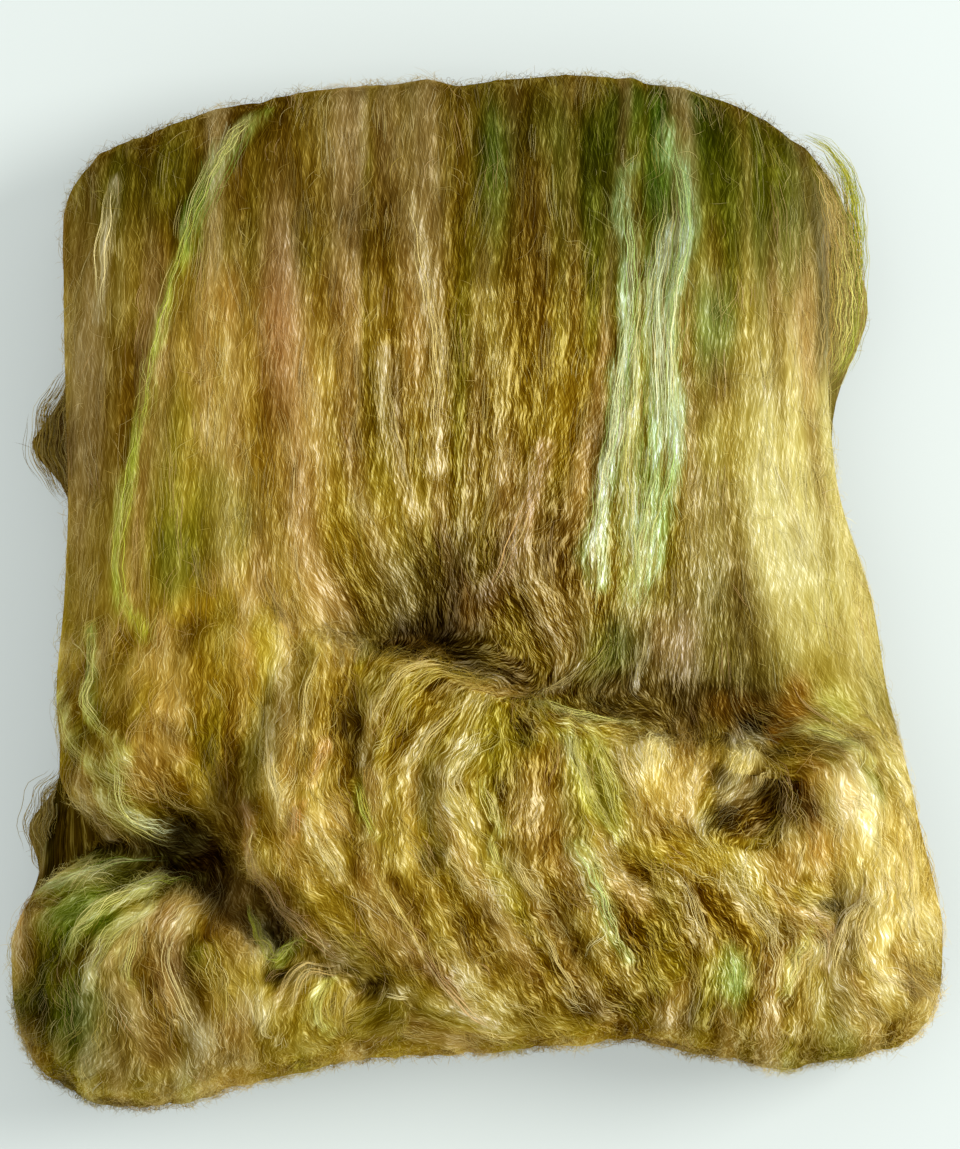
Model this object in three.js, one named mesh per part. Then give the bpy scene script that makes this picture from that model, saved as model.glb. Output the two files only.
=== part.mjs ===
// A carded silk batt, wound flat and lying on a table.
// One thick web of fibre makes the whole part. Its loose end lies underneath, it turns up
// round the near edge, runs over the top, turns down at the far edge and comes back inside,
// where it doubles up under the near third and so makes that part stand higher.
// Millimetres, +Z up, +Y towards the far edge, +X to the right, standing on z = 0.

import * as THREE from "three";

// Driving dimensions
const GAP_SHARE = 0.035;       // air between two layers, as a share of the pile's height
const NEAR_NOSE = 24;          // how far the near turn bulges past the flat of the pile
const FAR_NOSE = 21;           // the same for the far turn
const SIDE_DROP = 0.36;        // share of its height that the pile loses at its left and right sides
const SIDE_REACH = 34;         // how far in from the side the pile starts to droop
const EDGE_ROUND = 13;         // length over which the web thins to its feathered side edge
const EDGE_THIN = 0.16;        // thickness left at the very edge, as a share of the web's
const TUFT_REACH = 36;         // how far in from the side a layer's own edge shift is felt
const UNDER_END = 12;          // how far the loose end underneath runs past the flat of the pile
const UNDER_SHOULDER = 9;      // where that end starts to thin
const SHOULDER_THIN = 0.8;     // thickness left there, as a share of the web's
const END_THIN = 0.3;          // thickness left at the web's two ends, as a share of the web's
const INNER_END = 0.82;        // where the inner end stops, as a share of the way to the crease
const DOUBLED_RAMP = 13;       // half the length over which three layers become four
const HEIGHT_RAMP = 20;        // half the length over which the panel's height becomes the roll's
const CREASE_FAR = 34;         // reach of the crease on the flat panel's side
const CREASE_NEAR = 15;        // reach of the crease on the roll's side
const SLOPE_FAR = 2.2;         // how sharply its slopes steepen towards the floor on each side
const SLOPE_NEAR = 1.6;
const LIP_SET_BACK = 9;        // distance from the crease to the lip that hangs over it
const LIP_WIDTH = 9;           // how wide a stretch of the roll leans over the crease
const FULL_HEIGHT = 84;        // height at which the lip leans the whole way

const table = (names, rows) => {
  const columns = names.split(" ");
  return rows.map((row) => Object.fromEntries(columns.map((name, i) => [name, row[i]])));
};

// One row for each section across the batt: where its far and near edges are, how high the
// flat panel and the near roll stand, where the crease crosses it, how deep the crease is
// and how far the roll's lip leans over it.
const SECTIONS = table("x far near panel roll crease drop lip", [
  [-135, 105, -125, 52, 70, -14, 0, 0],
  [-127, 114, -138, 54, 74, -14, 1, 0],
  [-114, 125, -145.5, 58, 78, -14, 2, 0],
  [-96, 133, -149, 61, 80, -13.5, 5, 0],
  [-81, 138, -146.5, 62, 80, -9, 7, 1],
  [-67, 141.5, -143, 62, 80, -6, 9, 2],
  [-52, 144.5, -139.5, 62, 82, -12, 14, 5],
  [-40, 146, -136.5, 62, 82, -14, 21, 8],
  [-25, 147.5, -135, 62, 83, -15, 33, 12],
  [-14, 149, -134.5, 62, 84, -16.5, 38, 14],
  [-5, 147, -134, 62, 84, -21, 35, 13],
  [6, 148.5, -133.5, 62, 84, -25.5, 29, 11],
  [18, 149, -132.5, 63, 84, -30, 25, 9],
  [41, 149, -131, 63, 83, -38.5, 21, 7],
  [64, 144.5, -134, 63, 82, -41.5, 20, 6],
  [87, 135.5, -138, 62, 80, -45, 20, 5],
  [105, 123, -136, 60, 78, -43.5, 15, 3],
  [119, 110, -133, 57, 75, -41.5, 8, 1],
  [127, 100, -129, 54, 72, -41, 4, 0],
  [135, 90, -121, 52, 70, -41, 0, 0],
]);

// One row for each step along the batt: where its left and right sides are.
const SIDES = table("y left right", [
  [-137, -125.5, 125],
  [-122, -131, 129.5],
  [-108, -135.3, 135],
  [-97, -133, 135],
  [-83, -127.5, 132],
  [-69, -125.5, 128.5],
  [-57, -122, 126],
  [-46, -120.5, 123.5],
  [-31, -121.5, 120],
  [-2, -120, 115],
  [27, -119, 106],
  [45, -119.5, 103.5],
  [62, -120, 102.5],
  [90, -120.5, 103],
  [114, -120, 102],
  [125, -115.5, 99],
  [140, -112, 96],
]);

// Where one layer's own side edge stands out from the pile, or in from it if reach is negative.
const TUFTS = table("layer side y spread reach", [
  ["middle", "left", 44, 10, 11],
  ["middle", "left", -68, 9, 6],
  ["middle", "right", 120, 12, 10],
  ["middle", "right", 84, 23, 12],
  ["top", "left", -72, 11, -17],
  ["top", "right", -122, 4, -4],
]);

// Folds and wrinkles pressed into the top, each a line of points with its drop and reach.
const FOLDS = {
  between_left_lump_and_roll: table("x y drop reach", [
    [-53, -18, 9, 13],
    [-58, -31, 8, 13],
    [-63, -46, 9, 13],
    [-70, -60, 12, 14],
    [-78, -74, 20, 15],
  ]),
  corner_roll: table("x y drop reach", [
    [-130, -70, 24, 15],
    [-108, -75, 29, 16],
    [-85, -77, 42, 18],
    [-69, -89, 28, 15],
    [-60, -97, 26, 14],
    [-52, -108, 14, 12],
    [-38, -109, 9, 11],
    [-26, -114, 4, 10],
  ]),
  corner_split: table("x y drop reach", [
    [-88, -98, 4, 13],
    [-86, -115, 6, 13],
    [-83, -137, 6, 13],
  ]),
  second_strand: table("x y drop reach", [
    [-31, -28, 8, 12],
    [-36, -40, 6, 12],
    [-35, -56, 2, 12],
  ]),
  right_pit: table("x y drop reach", [
    [62, -61, 5, 13],
    [81, -66, 13, 15],
    [99, -69, 6, 13],
  ]),
  right_notch: table("x y drop reach", [
    [117, -90, 3, 14],
    [105, -94, 9, 16],
    [97, -107, 8, 16],
    [92, -122, 5, 15],
  ]),
  near_slit: table("x y drop reach", [
    [59, -104, 2, 14],
    [61, -130, 6, 14],
  ]),
};

// Soft swells and dents of the top, each an oval with its rise.
const SWELLS = table("x y rise along across", [
  [-96, -44, 6, 24, 22],
  [-50, -66, 7, 34, 15],
  [-13, -36, 5, 12, 18],
  [24, -86, 5, 30, 42],
  [112, -66, 5, 22, 16],
  [120, -112, 4, 16, 14],
  [-114, -112, 6, 24, 20],
  [-70, -118, 5, 18, 14],
  [-38, -121, 4, 9, 9],
  [-8, 10, -8, 24, 12],
  [-90, 60, 2, 50, 18],
  [10, 80, 2, 40, 22],
  [80, 60, 2, 50, 20],
]);

// Stations of the mesh, finer where the folds are
const ACROSS = [
  0, 0.012, 0.035, 0.07, 0.105, 0.14, 0.175, 0.21, 0.245, 0.285, 0.325, 0.365, 0.405, 0.44,
  0.475, 0.51, 0.55, 0.59, 0.635, 0.68, 0.725, 0.77, 0.815, 0.855, 0.895, 0.935, 0.97, 0.99, 1,
];
const ROLL_STEPS = [0, 0.09, 0.18, 0.27, 0.36, 0.45, 0.54, 0.63, 0.72, 0.81, 0.89, 0.95];
const PANEL_STEPS = [0, 0.06, 0.15, 0.27, 0.41, 0.5, 0.59, 0.72, 0.86, 1];
const NEAR_TURN_STEPS = 8;
const FAR_TURN_STEPS = 7;
const INNER_TURN_STEPS = 4;
const INNER_STEPS = ROLL_STEPS.filter((step) => step < 0.8);
const PLAN_ROUNDS = 6;
const PLAN_STRIDE = 0.7;

const clamp = (value, low, high) => Math.min(high, Math.max(low, value));
const mix = (a, b, share) => a + (b - a) * share;
const smooth = (value, from, to) => {
  const share = clamp((value - from) / (to - from), 0, 1);
  return share * share * (3 - 2 * share);
};

// Reads a column of a table at any place between its rows, along a smooth curve.
const read = (rows, key, column, at) => {
  const place = clamp(at, rows[0][key], rows[rows.length - 1][key]);
  let i = 0;
  while (i < rows.length - 2 && rows[i + 1][key] < place) {
    i += 1;
  }
  const slope = (a, b) => (rows[b][column] - rows[a][column]) / (rows[b][key] - rows[a][key]);
  const span = rows[i + 1][key] - rows[i][key];
  const share = (place - rows[i][key]) / span;
  const here = slope(i, i + 1);
  const before = i > 0 ? (slope(i - 1, i) + here) / 2 : here;
  const after = i < rows.length - 2 ? (slope(i + 1, i + 2) + here) / 2 : here;
  const start = rows[i][column];
  const bend = share * (1 - share);
  const rise = here * span;
  return start + rise * share + bend * ((before * span - rise) * (1 - share) - (after * span - rise) * share);
};

const section = (column, x) => read(SECTIONS, "x", column, x);
const side = (column, y) => read(SIDES, "y", column, y);

// How deep a fold line presses the top at a place
const pressed = (fold, x, y) => {
  let deepest = 0;
  for (let i = 0; i < fold.length - 1; i += 1) {
    const [a, b] = [fold[i], fold[i + 1]];
    const [dx, dy] = [b.x - a.x, b.y - a.y];
    const share = clamp(((x - a.x) * dx + (y - a.y) * dy) / (dx * dx + dy * dy), 0, 1);
    const distance = Math.hypot(x - a.x - dx * share, y - a.y - dy * share);
    const off = clamp(distance / mix(a.reach, b.reach, share), 0, 1);
    deepest = Math.max(deepest, mix(a.drop, b.drop, share) * (1 - off ** 2) ** 2);
  }
  return deepest;
};

const crease = (x, y) => {
  const off = y - section("crease", x);
  const [reach, slope] = off > 0 ? [CREASE_FAR, SLOPE_FAR] : [CREASE_NEAR, SLOPE_NEAR];
  return section("drop", x) * (1 - clamp(Math.abs(off) / reach, 0, 1)) ** slope;
};

const swell = (x, y) => SWELLS.reduce((sum, { x: cx, y: cy, rise, along, across }) => (
  sum + rise * Math.exp(-(((x - cx) / across) ** 2) - ((y - cy) / along) ** 2)
), 0);

const droop = (x, y) => {
  const inside = Math.max(0, Math.min(x - side("left", y), side("right", y) - x));
  return 1 - SIDE_DROP * (1 - Math.min(1, inside / SIDE_REACH)) ** 2;
};

// Height of the pile's top over any place of the table
const height = (x, y) => {
  const towardsPanel = smooth(y - section("crease", x), -HEIGHT_RAMP, HEIGHT_RAMP);
  const plain = mix(section("roll", x), section("panel", x), towardsPanel);
  const folds = Math.max(crease(x, y), ...Object.values(FOLDS).map((fold) => pressed(fold, x, y)));
  return (plain + swell(x, y) - folds) * droop(x, y);
};

// Lower and upper face of a layer, as shares of the pile's height: three layers on the
// panel's side of the crease, four on the roll's side.
const faces = (layer, x, y) => {
  const doubled = 1 - smooth(y - section("crease", x), -DOUBLED_RAMP, DOUBLED_RAMP);
  const half = GAP_SHARE / 2;
  const first = mix(1 / 3, 1 / 4, doubled);
  const second = mix(2 / 3, 1 / 2, doubled);
  const third = mix(2 / 3, 3 / 4, doubled);
  return {
    under: [0, first - half],
    middle: [first + half, second - half],
    inner: [second + half, third - half],
    top: [third + half, 1],
  }[layer];
};

// The roll's lip leans over the crease, the more the higher it stands.
const lean = (x, y, z) => {
  const off = (y - section("crease", x) + LIP_SET_BACK) / LIP_WIDTH;
  return section("lip", x) * Math.exp(-(off ** 2)) * Math.min(1, z / FULL_HEIGHT) ** 2;
};

const tuft = (layer, edge, y) => TUFTS
  .filter((row) => row.layer === layer && row.side === edge)
  .reduce((sum, row) => sum + row.reach * Math.exp(-(((y - row.y) / row.spread) ** 2)), 0);

// Place across the batt of a station of one layer, with its distance in from that layer's own edge
const acrossAt = (layer, share, y) => {
  const left = side("left", y);
  const right = side("right", y);
  const plain = mix(left, right, share);
  const leftShift = -tuft(layer, "left", y);
  const rightShift = tuft(layer, "right", y);
  const x = plain
    + leftShift * clamp(1 - (plain - left) / TUFT_REACH, 0, 1)
    + rightShift * clamp(1 - (right - plain) / TUFT_REACH, 0, 1);
  return { x, inside: Math.min(x - left - leftShift, right + rightShift - x) };
};

const feather = (inside) => {
  const off = 1 - clamp(inside / EDGE_ROUND, 0, 1);
  return Math.max(EDGE_THIN, Math.sqrt(1 - off * off));
};

// Both ends of the flat stretch at x, between which a step of 0 to 1 to 2 runs: near turn,
// crease, far turn.
const alongAt = (x, step) => {
  const near = section("near", x) + NEAR_NOSE;
  const line = section("crease", x);
  const far = section("far", x) - FAR_NOSE;
  return step < 1 ? mix(near, line, step) : mix(line, far, step - 1);
};

// A station's place in plan: the sides depend on how far along it lies and the ends on how far
// across, so each is worked out from the other a few times over.
const planAt = (layer, share, step) => {
  let y = alongAt(0, step);
  let found = acrossAt(layer, share, y);
  for (let round = 0; round < PLAN_ROUNDS; round += 1) {
    y = mix(y, alongAt(found.x, step), PLAN_STRIDE);
    found = acrossAt(layer, share, y);
  }
  return { ...found, y: alongAt(found.x, step) };
};

// Points of both faces of the web: outer is the face that looks out of the winding.
const flatPoints = (layer, step, share, thin = 1, push = 0) => {
  const { x, y: plain, inside } = planAt(layer, share, step);
  const y = plain + push;
  const pile = height(x, y);
  const [low, high] = faces(layer, x, y);
  const centre = (low + high) / 2;
  const half = (high - low) / 2 * feather(inside) * thin;
  const place = (level) => new THREE.Vector3(x, y + lean(x, y, level * pile), level * pile);
  const lower = place(centre - half);
  const upper = place(centre + half);
  return layer === "top" || layer === "inner" ? [upper, lower] : [lower, upper];
};

// A turn of the web from a lower layer up to a higher one: both of its faces are half ovals.
// The angle runs from 0 at the lower layer to half a circle at the higher one.
const turnPoints = ({ layers, step, bulge }, angle, share) => {
  const around = angle / Math.PI;
  const [lower, higher] = layers.map((layer) => planAt(layer, share, step));
  const x = mix(lower.x, higher.x, around);
  const y = alongAt(x, step);
  const pile = height(x, y);
  const thin = feather(mix(lower.inside, higher.inside, around));
  const [lowerFaces, higherFaces] = layers.map((layer) => faces(layer, x, y));
  const middles = [lowerFaces, higherFaces].map(([low, high]) => (low + high) / 2);
  const full = (higherFaces[1] - lowerFaces[0]) / 2;
  const place = (low, high) => {
    const from = mix(middles[0], low, thin);
    const to = mix(middles[1], high, thin);
    const radius = (to - from) / 2;
    const z = pile * ((from + to) / 2 - Math.cos(angle) * radius);
    return new THREE.Vector3(x, y + bulge * (radius / full) * Math.sin(angle) + lean(x, y, z), z);
  };
  return [place(lowerFaces[0], higherFaces[1]), place(lowerFaces[1], higherFaces[0])];
};

const NEAR_TURN = { layers: ["under", "top"], step: 0, bulge: -NEAR_NOSE };
const FAR_TURN = { layers: ["middle", "top"], step: 2, bulge: FAR_NOSE };
const INNER_TURN = { layers: ["middle", "inner"], step: 0, bulge: -NEAR_NOSE * (0.5 - GAP_SHARE) };

// Stations along the web from its loose end underneath to its inner end. Each is a function
// that gives the outer and the inner point at a share of the width.
const webStations = () => {
  const along = [...ROLL_STEPS, ...PANEL_STEPS.map((step) => 1 + step)];
  const back = [...along].reverse();
  const flat = (layer, step, thin, push) => (share) => flatPoints(layer, step, share, thin, push);
  const turn = (kind, count) => Array.from({ length: count }, (unused, i) => {
    const angle = Math.PI * (i + 1) / (count + 1);
    return (share) => turnPoints(kind, angle, share);
  });
  return [
    flat("under", 2, END_THIN, UNDER_END),
    flat("under", 2, SHOULDER_THIN, UNDER_SHOULDER),
    ...back.map((step) => flat("under", step)),
    ...turn(NEAR_TURN, NEAR_TURN_STEPS),
    ...along.map((step) => flat("top", step)),
    ...turn(FAR_TURN, FAR_TURN_STEPS).reverse(),
    ...back.map((step) => flat("middle", step)),
    ...turn(INNER_TURN, INNER_TURN_STEPS),
    ...INNER_STEPS.map((step) => flat("inner", step)),
    flat("inner", INNER_END, END_THIN),
  ];
};

// Whether a four-sided patch is better cut from a to c than from b to d, so that the cut runs
// along a fold and not across it
const cutFirstWay = (a, b, c, d) => {
  const [ha, hb, hc, hd] = [a, b, c, d].map(({ x, y }) => height(x, y));
  const centre = height((a.x + b.x + c.x + d.x) / 4, (a.y + b.y + c.y + d.y) / 4);
  return Math.abs((ha + hc) / 2 - centre) <= Math.abs((hb + hd) / 2 - centre);
};

// Joins the rings of points into one closed skin.
const skin = (stations) => {
  const rings = ACROSS.map((share) => {
    const pairs = stations.map((station) => station(share));
    return [...pairs.map(([outer]) => outer), ...pairs.map(([, inner]) => inner).reverse()];
  });
  const around = rings[0].length;
  const points = rings.flat();
  const index = [];
  const quad = (...corners) => {
    const [a, b, c, d] = corners;
    const first = cutFirstWay(...corners.map((corner) => points[corner]));
    index.push(...(first ? [a, b, c, a, c, d] : [b, c, d, b, d, a]));
  };
  for (let i = 0; i < rings.length - 1; i += 1) {
    for (let j = 0; j < around; j += 1) {
      const next = (j + 1) % around;
      quad(i * around + j, (i + 1) * around + j, (i + 1) * around + next, i * around + next);
    }
  }
  const last = (rings.length - 1) * around;
  for (let j = 0; j < stations.length - 1; j += 1) {
    const across = around - 1 - j;
    quad(j, j + 1, across - 1, across);
    quad(last + j, last + across, last + across - 1, last + j + 1);
  }
  const geometry = new THREE.BufferGeometry();
  geometry.setFromPoints(points);
  geometry.setIndex(index);
  geometry.computeVertexNormals();
  return geometry;
};

// Sets a shape over the origin, as high as it stands.
const centred = (geometry) => {
  geometry.computeBoundingBox();
  const centre = geometry.boundingBox.getCenter(new THREE.Vector3());
  return geometry.translate(-centre.x, -centre.y, 0);
};

const fibre = new THREE.MeshStandardMaterial({ color: 0x8a733c, roughness: 0.78, metalness: 0 });
const batt = new THREE.Mesh(centred(skin(webStations())), fibre);
batt.name = "batt";

const group = new THREE.Group();
group.add(batt);

export default group;
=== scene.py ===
"""A hand-dyed carded silk batt: one thick web of fibre, wound flat, with its locks and loose hairs."""

import math

import bmesh
import bpy
import numpy as np
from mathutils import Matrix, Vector


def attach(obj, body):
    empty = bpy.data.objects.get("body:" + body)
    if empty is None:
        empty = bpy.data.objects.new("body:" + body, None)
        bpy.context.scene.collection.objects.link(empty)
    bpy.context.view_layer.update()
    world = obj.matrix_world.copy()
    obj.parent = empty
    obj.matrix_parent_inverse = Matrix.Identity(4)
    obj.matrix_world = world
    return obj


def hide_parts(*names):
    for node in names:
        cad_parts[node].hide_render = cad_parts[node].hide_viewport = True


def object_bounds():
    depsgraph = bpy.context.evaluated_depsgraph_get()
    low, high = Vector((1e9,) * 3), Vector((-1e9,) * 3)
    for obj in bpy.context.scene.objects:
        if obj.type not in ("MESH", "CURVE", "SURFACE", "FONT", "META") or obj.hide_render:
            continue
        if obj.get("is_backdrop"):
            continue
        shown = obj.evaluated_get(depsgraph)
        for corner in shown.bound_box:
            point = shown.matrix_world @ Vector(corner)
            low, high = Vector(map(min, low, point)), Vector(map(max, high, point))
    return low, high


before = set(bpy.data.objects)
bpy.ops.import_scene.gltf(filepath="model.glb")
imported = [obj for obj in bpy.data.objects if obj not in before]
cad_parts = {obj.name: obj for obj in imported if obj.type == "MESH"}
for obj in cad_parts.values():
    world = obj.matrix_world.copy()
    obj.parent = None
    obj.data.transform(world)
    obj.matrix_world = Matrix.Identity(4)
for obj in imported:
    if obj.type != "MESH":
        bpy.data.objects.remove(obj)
cad_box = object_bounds()

# Lengths are millimetres, except for the stage and the bump, which are in metres
MM = 0.001
CM = 10
TINY = 1e-6
SMALLEST = 1e-9

# Where the flat length of the web turns under, past the far and the near nose
FAR_FOLD = 155
NEAR_FOLD = -155

# The web, as it is in the solid
GAP_SHARE = 0.035
NEAR_NOSE = 24
FAR_NOSE = 21
SIDE_DROP = 0.36
SIDE_REACH = 34
EDGE_ROUND = 13
EDGE_THIN = 0.16
TUFT_REACH = 36
UNDER_END = 12
UNDER_SHOULDER = 9
SHOULDER_THIN = 0.8
END_THIN = 0.3
INNER_END = 0.82
DOUBLED_RAMP = 13
HEIGHT_RAMP = 20
CREASE_FAR = 34
CREASE_NEAR = 15
SLOPE_FAR = 2.2
SLOPE_NEAR = 1.6
LIP_SET_BACK = 9
LIP_WIDTH = 9
LIP_SHARE = 0.25
FULL_HEIGHT = 84
PLAN_ROUNDS = 8
PLAN_STRIDE = 0.7

# The streaks are drawn at these headings, in degrees, and blended between them
HEADING_STEP = 30
HEADINGS = (-120, -90, -60, -30, 0, 30, 60, 90)
STEEPEST = (-118, 85)
LANE_LINE = 60
LANE_NEAREST = -60
LANE_STEPS = 14
LANE_TURN = 1.1
FLOW_STEPS = 8

# How hard a place of the flow table pulls, against fibre that lies straight, and how far fibres
# stray from it: size across and along, seed, degrees on the panel and on the roll
FLOW_PULL = 20
STRAIGHT_PULL = 0.02
STRAY = [(13, 17, 31, 7, 13), (34, 40, 32, 4, 8)]
STRAY_RAMP = (-8, 22)
ROLL_RAMP = (-4, 10)

# Noise in a few sizes: strength, size across and along, and seed
LATTICE = 256
WANDER_ACROSS = [(2.2, 17, 17, 8), (1, 7, 7, 9)]
WANDER_ALONG = [(2.6, 15, 19, 10), (1, 6, 8, 7)]
LOFT = [(1.6, 26, 34, 5), (1.3, 11, 17, 6)]
LUMPS = [(0.6, 7, 8, 23), (0.3, 3.6, 4.5, 24)]
LOCK_LUMPS = [(0.5, 5, 7, 19)]
LOCK_STRAY = [(1.8, 9, 9, 16)]

# Streaks in the relief: size across, along on panel and roll, seed, share on panel and roll
RIDGES = [(6.5, 60, 22, 21, 0.6, 0.6), (2.6, 34, 12, 31, 0.25, 0.4), (12, 34, 34, 41, 0, 1)]
RIDGE_SHARE = 0.6
WIDE_SHARE = 0.5
LUMP_SHARES = (0.15, 0.5)
LAID_SHARE = 0.6

# A laid lock in the relief: in half widths where it ends and where the groove beside it lies
LOCK_EDGE = 1.3
LOCK_STAND = (-0.8, 0.9)
LOCK_PLAIN = 0.7
GROOVE_DEPTH = 0.5
GROOVE_PLACE = 1.8
GROOVE_WIDTH = 0.6

# Height of the small locks over the web, how dark the web is beneath loose hairs, and the light of all fibre
RELIEF = 2.0
UNDER_SHADE = 0.85
FIBRE_LIGHT = 0.95

# How finely the web is meshed
COLUMNS = 141
UNDER_ROWS = 26
NEAR_TURN_ROWS = 26
ROLL_ROWS = 62
PANEL_ROWS = 78
FAR_TURN_ROWS = 20
MIDDLE_ROWS = 52
INNER_TURN_ROWS = 8
INNER_ROWS = 20
INNER_END_RAMP = 0.05
EDGE_CROWDING = 0.055

# Relief fades at the sides and between layers, and nothing sinks into the table
SIDE_FADE = 0.02
HIDDEN_RELIEF = 0.3
LEAST_HEIGHT = 0.05


def table(names, rows):
    """Rows of numbers as one array for each named column."""
    columns = zip(*rows)
    return {name: np.array(column, dtype=float) for name, column in zip(names.split(), columns)}


# One row for each section across the batt
SECTIONS = table("x far near panel roll crease drop lip", [
    (-135, 105, -125, 52, 70, -14, 0, 0),
    (-127, 114, -138, 54, 74, -14, 1, 0),
    (-114, 125, -145.5, 58, 78, -14, 2, 0),
    (-96, 133, -149, 61, 80, -13.5, 5, 0),
    (-81, 138, -146.5, 62, 80, -9, 7, 1),
    (-67, 141.5, -143, 62, 80, -6, 9, 2),
    (-52, 144.5, -139.5, 62, 82, -12, 14, 5),
    (-40, 146, -136.5, 62, 82, -14, 21, 8),
    (-25, 147.5, -135, 62, 83, -15, 33, 12),
    (-14, 149, -134.5, 62, 84, -16.5, 38, 14),
    (-5, 147, -134, 62, 84, -21, 35, 13),
    (6, 148.5, -133.5, 62, 84, -25.5, 29, 11),
    (18, 149, -132.5, 63, 84, -30, 25, 9),
    (41, 149, -131, 63, 83, -38.5, 21, 7),
    (64, 144.5, -134, 63, 82, -41.5, 20, 6),
    (87, 135.5, -138, 62, 80, -45, 20, 5),
    (105, 123, -136, 60, 78, -43.5, 15, 3),
    (119, 110, -133, 57, 75, -41.5, 8, 1),
    (127, 100, -129, 54, 72, -41, 4, 0),
    (135, 90, -121, 52, 70, -41, 0, 0),
])

# One row for each step along the batt
SIDES = table("y left right", [
    (-137, -125.5, 125),
    (-122, -131, 129.5),
    (-108, -135.3, 135),
    (-97, -133, 135),
    (-83, -127.5, 132),
    (-69, -125.5, 128.5),
    (-57, -122, 126),
    (-46, -120.5, 123.5),
    (-31, -121.5, 120),
    (-2, -120, 115),
    (27, -119, 106),
    (45, -119.5, 103.5),
    (62, -120, 102.5),
    (90, -120.5, 103),
    (114, -120, 102),
    (125, -115.5, 99),
    (140, -112, 96),
])

TUFTS = [
    ("middle", "left", 44, 10, 11),
    ("middle", "left", -68, 9, 6),
    ("middle", "right", 120, 12, 10),
    ("middle", "right", 84, 23, 12),
    ("top", "left", -72, 11, -17),
    ("top", "right", -122, 4, -4),
]

# Folds and wrinkles pressed into the top, each a line of points with its drop and reach. The
# small ones are only here.
FOLDS = {name: table("x y drop reach", rows) for name, rows in {
    "between left lump and roll": [(-53, -18, 8, 12), (-58, -31, 12, 11), (-63, -46, 14, 11),
        (-70, -60, 17, 12), (-78, -74, 22, 13)],
    "corner roll": [(-130, -70, 24, 14), (-108, -75, 30, 14), (-85, -77, 44, 17), (-69, -89, 29, 13),
        (-60, -97, 28, 12), (-52, -108, 15, 10), (-38, -109, 10, 9), (-26, -114, 5, 8)],
    "corner split": [(-88, -98, 4, 12), (-86, -115, 6, 12), (-83, -137, 6, 12)],
    "second strand": [(-29, -24, 9, 10), (-36, -38, 11, 9), (-38, -54, 7, 9), (-36, -72, 2, 9)],
    "right pit": [(64, -56, 8, 10), (80, -62, 17, 13), (94, -64, 12, 12), (104, -68, 5, 10)],
    "roll tufts": [(26, -42, 5, 6), (28, -50, 7, 7), (33, -56, 6, 7), (34, -66, 2, 6)],
    "cream tuft": [(60, -44, 4, 6), (62, -54, 6, 7), (64, -66, 4, 7), (60, -80, 2, 7)],
    "curl hollow": [(-52, -107, 3, 5), (-40, -110.5, 6, 5), (-31, -115, 10, 6), (-27, -120, 5, 5)],
    "lime tuft hollow": [(-58, -92, 16, 6), (-56, -99, 20, 5), (-57, -105, 12, 5)],
    "strand gap": [(-12, -46, 2, 5), (-14, -58, 5, 6), (-11, -70, 5, 6), (-12, -78, 7, 5)],
    "slanting gap": [(34, -77, 1, 6), (46, -86, 5, 6), (56, -97, 1, 6)],
    "small pit": [(14, -39, 5, 3.5), (14, -44, 5, 3.5)],
    "right pit edge": [(68, -42, 5, 5), (80, -40, 8, 6), (89, -47, 7, 5)],
    "lip hollow": [(-13, -31, 4, 6), (-7, -32, 8, 7), (0, -33, 4, 6)],
    "left dimple": [(-94, -44, 4, 9), (-86, -50, 8, 10), (-80, -52, 5, 9)],
    "right notch": [(117, -90, 4, 9), (105, -94, 12, 10), (97, -107, 11, 10), (92, -122, 7, 10)],
    "right groove": [(72, -85, 2, 7), (84, -98, 5, 7), (91, -104, 7, 8)],
    "near slit": [(59, -104, 3, 7), (61, -122, 8, 8), (62, -133, 8, 8)],
    "roll wrinkle": [(25, -48, 5, 8), (24, -66, 4, 8), (22, -84, 1, 8)],
    "roll slant": [(-4, -60, 2, 8), (10, -84, 4, 8), (34, -110, 3, 8)],
    "panel slit": [(31, 55, 1, 5), (31, 44, 5, 6), (32, 30, 1, 5)],
    "panel dent": [(-47, 103, 3, 7), (-40, 105, 5, 7), (-33, 102, 3, 7)],
    "crossing tuft": [(61, 82, 1, 5), (66, 79, 4, 6), (71, 76, 2, 5)],
}.items()}

SWELLS = table("x y rise along across", [
    (-96, -44, 6, 24, 22), (-50, -66, 7, 34, 15), (-13, -36, 5, 12, 18), (24, -86, 5, 30, 42),
    (112, -66, 5, 22, 16), (120, -112, 4, 16, 14), (-114, -112, 6, 24, 20), (-70, -118, 5, 18, 14),
    (-41, -121, 5, 9, 8), (-6, -57, 4, 10, 5), (30, -58, 3, 16, 4), (50, -51, 4, 9, 6), (76, -53, 5, 8, 5),
    (-110, -99, 4, 10, 10), (-88, -108, 3, 14, 4), (-100, -64, 4, 10, 6), (78, -96, 4, 12, 8),
    (34, -92, 3, 14, 5), (62, -95, 3, 12, 5), (-8, 10, -8, 24, 12), (-90, 60, 2, 50, 18),
    (10, 80, 2, 40, 22), (80, 60, 2, 50, 20),
])

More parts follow.
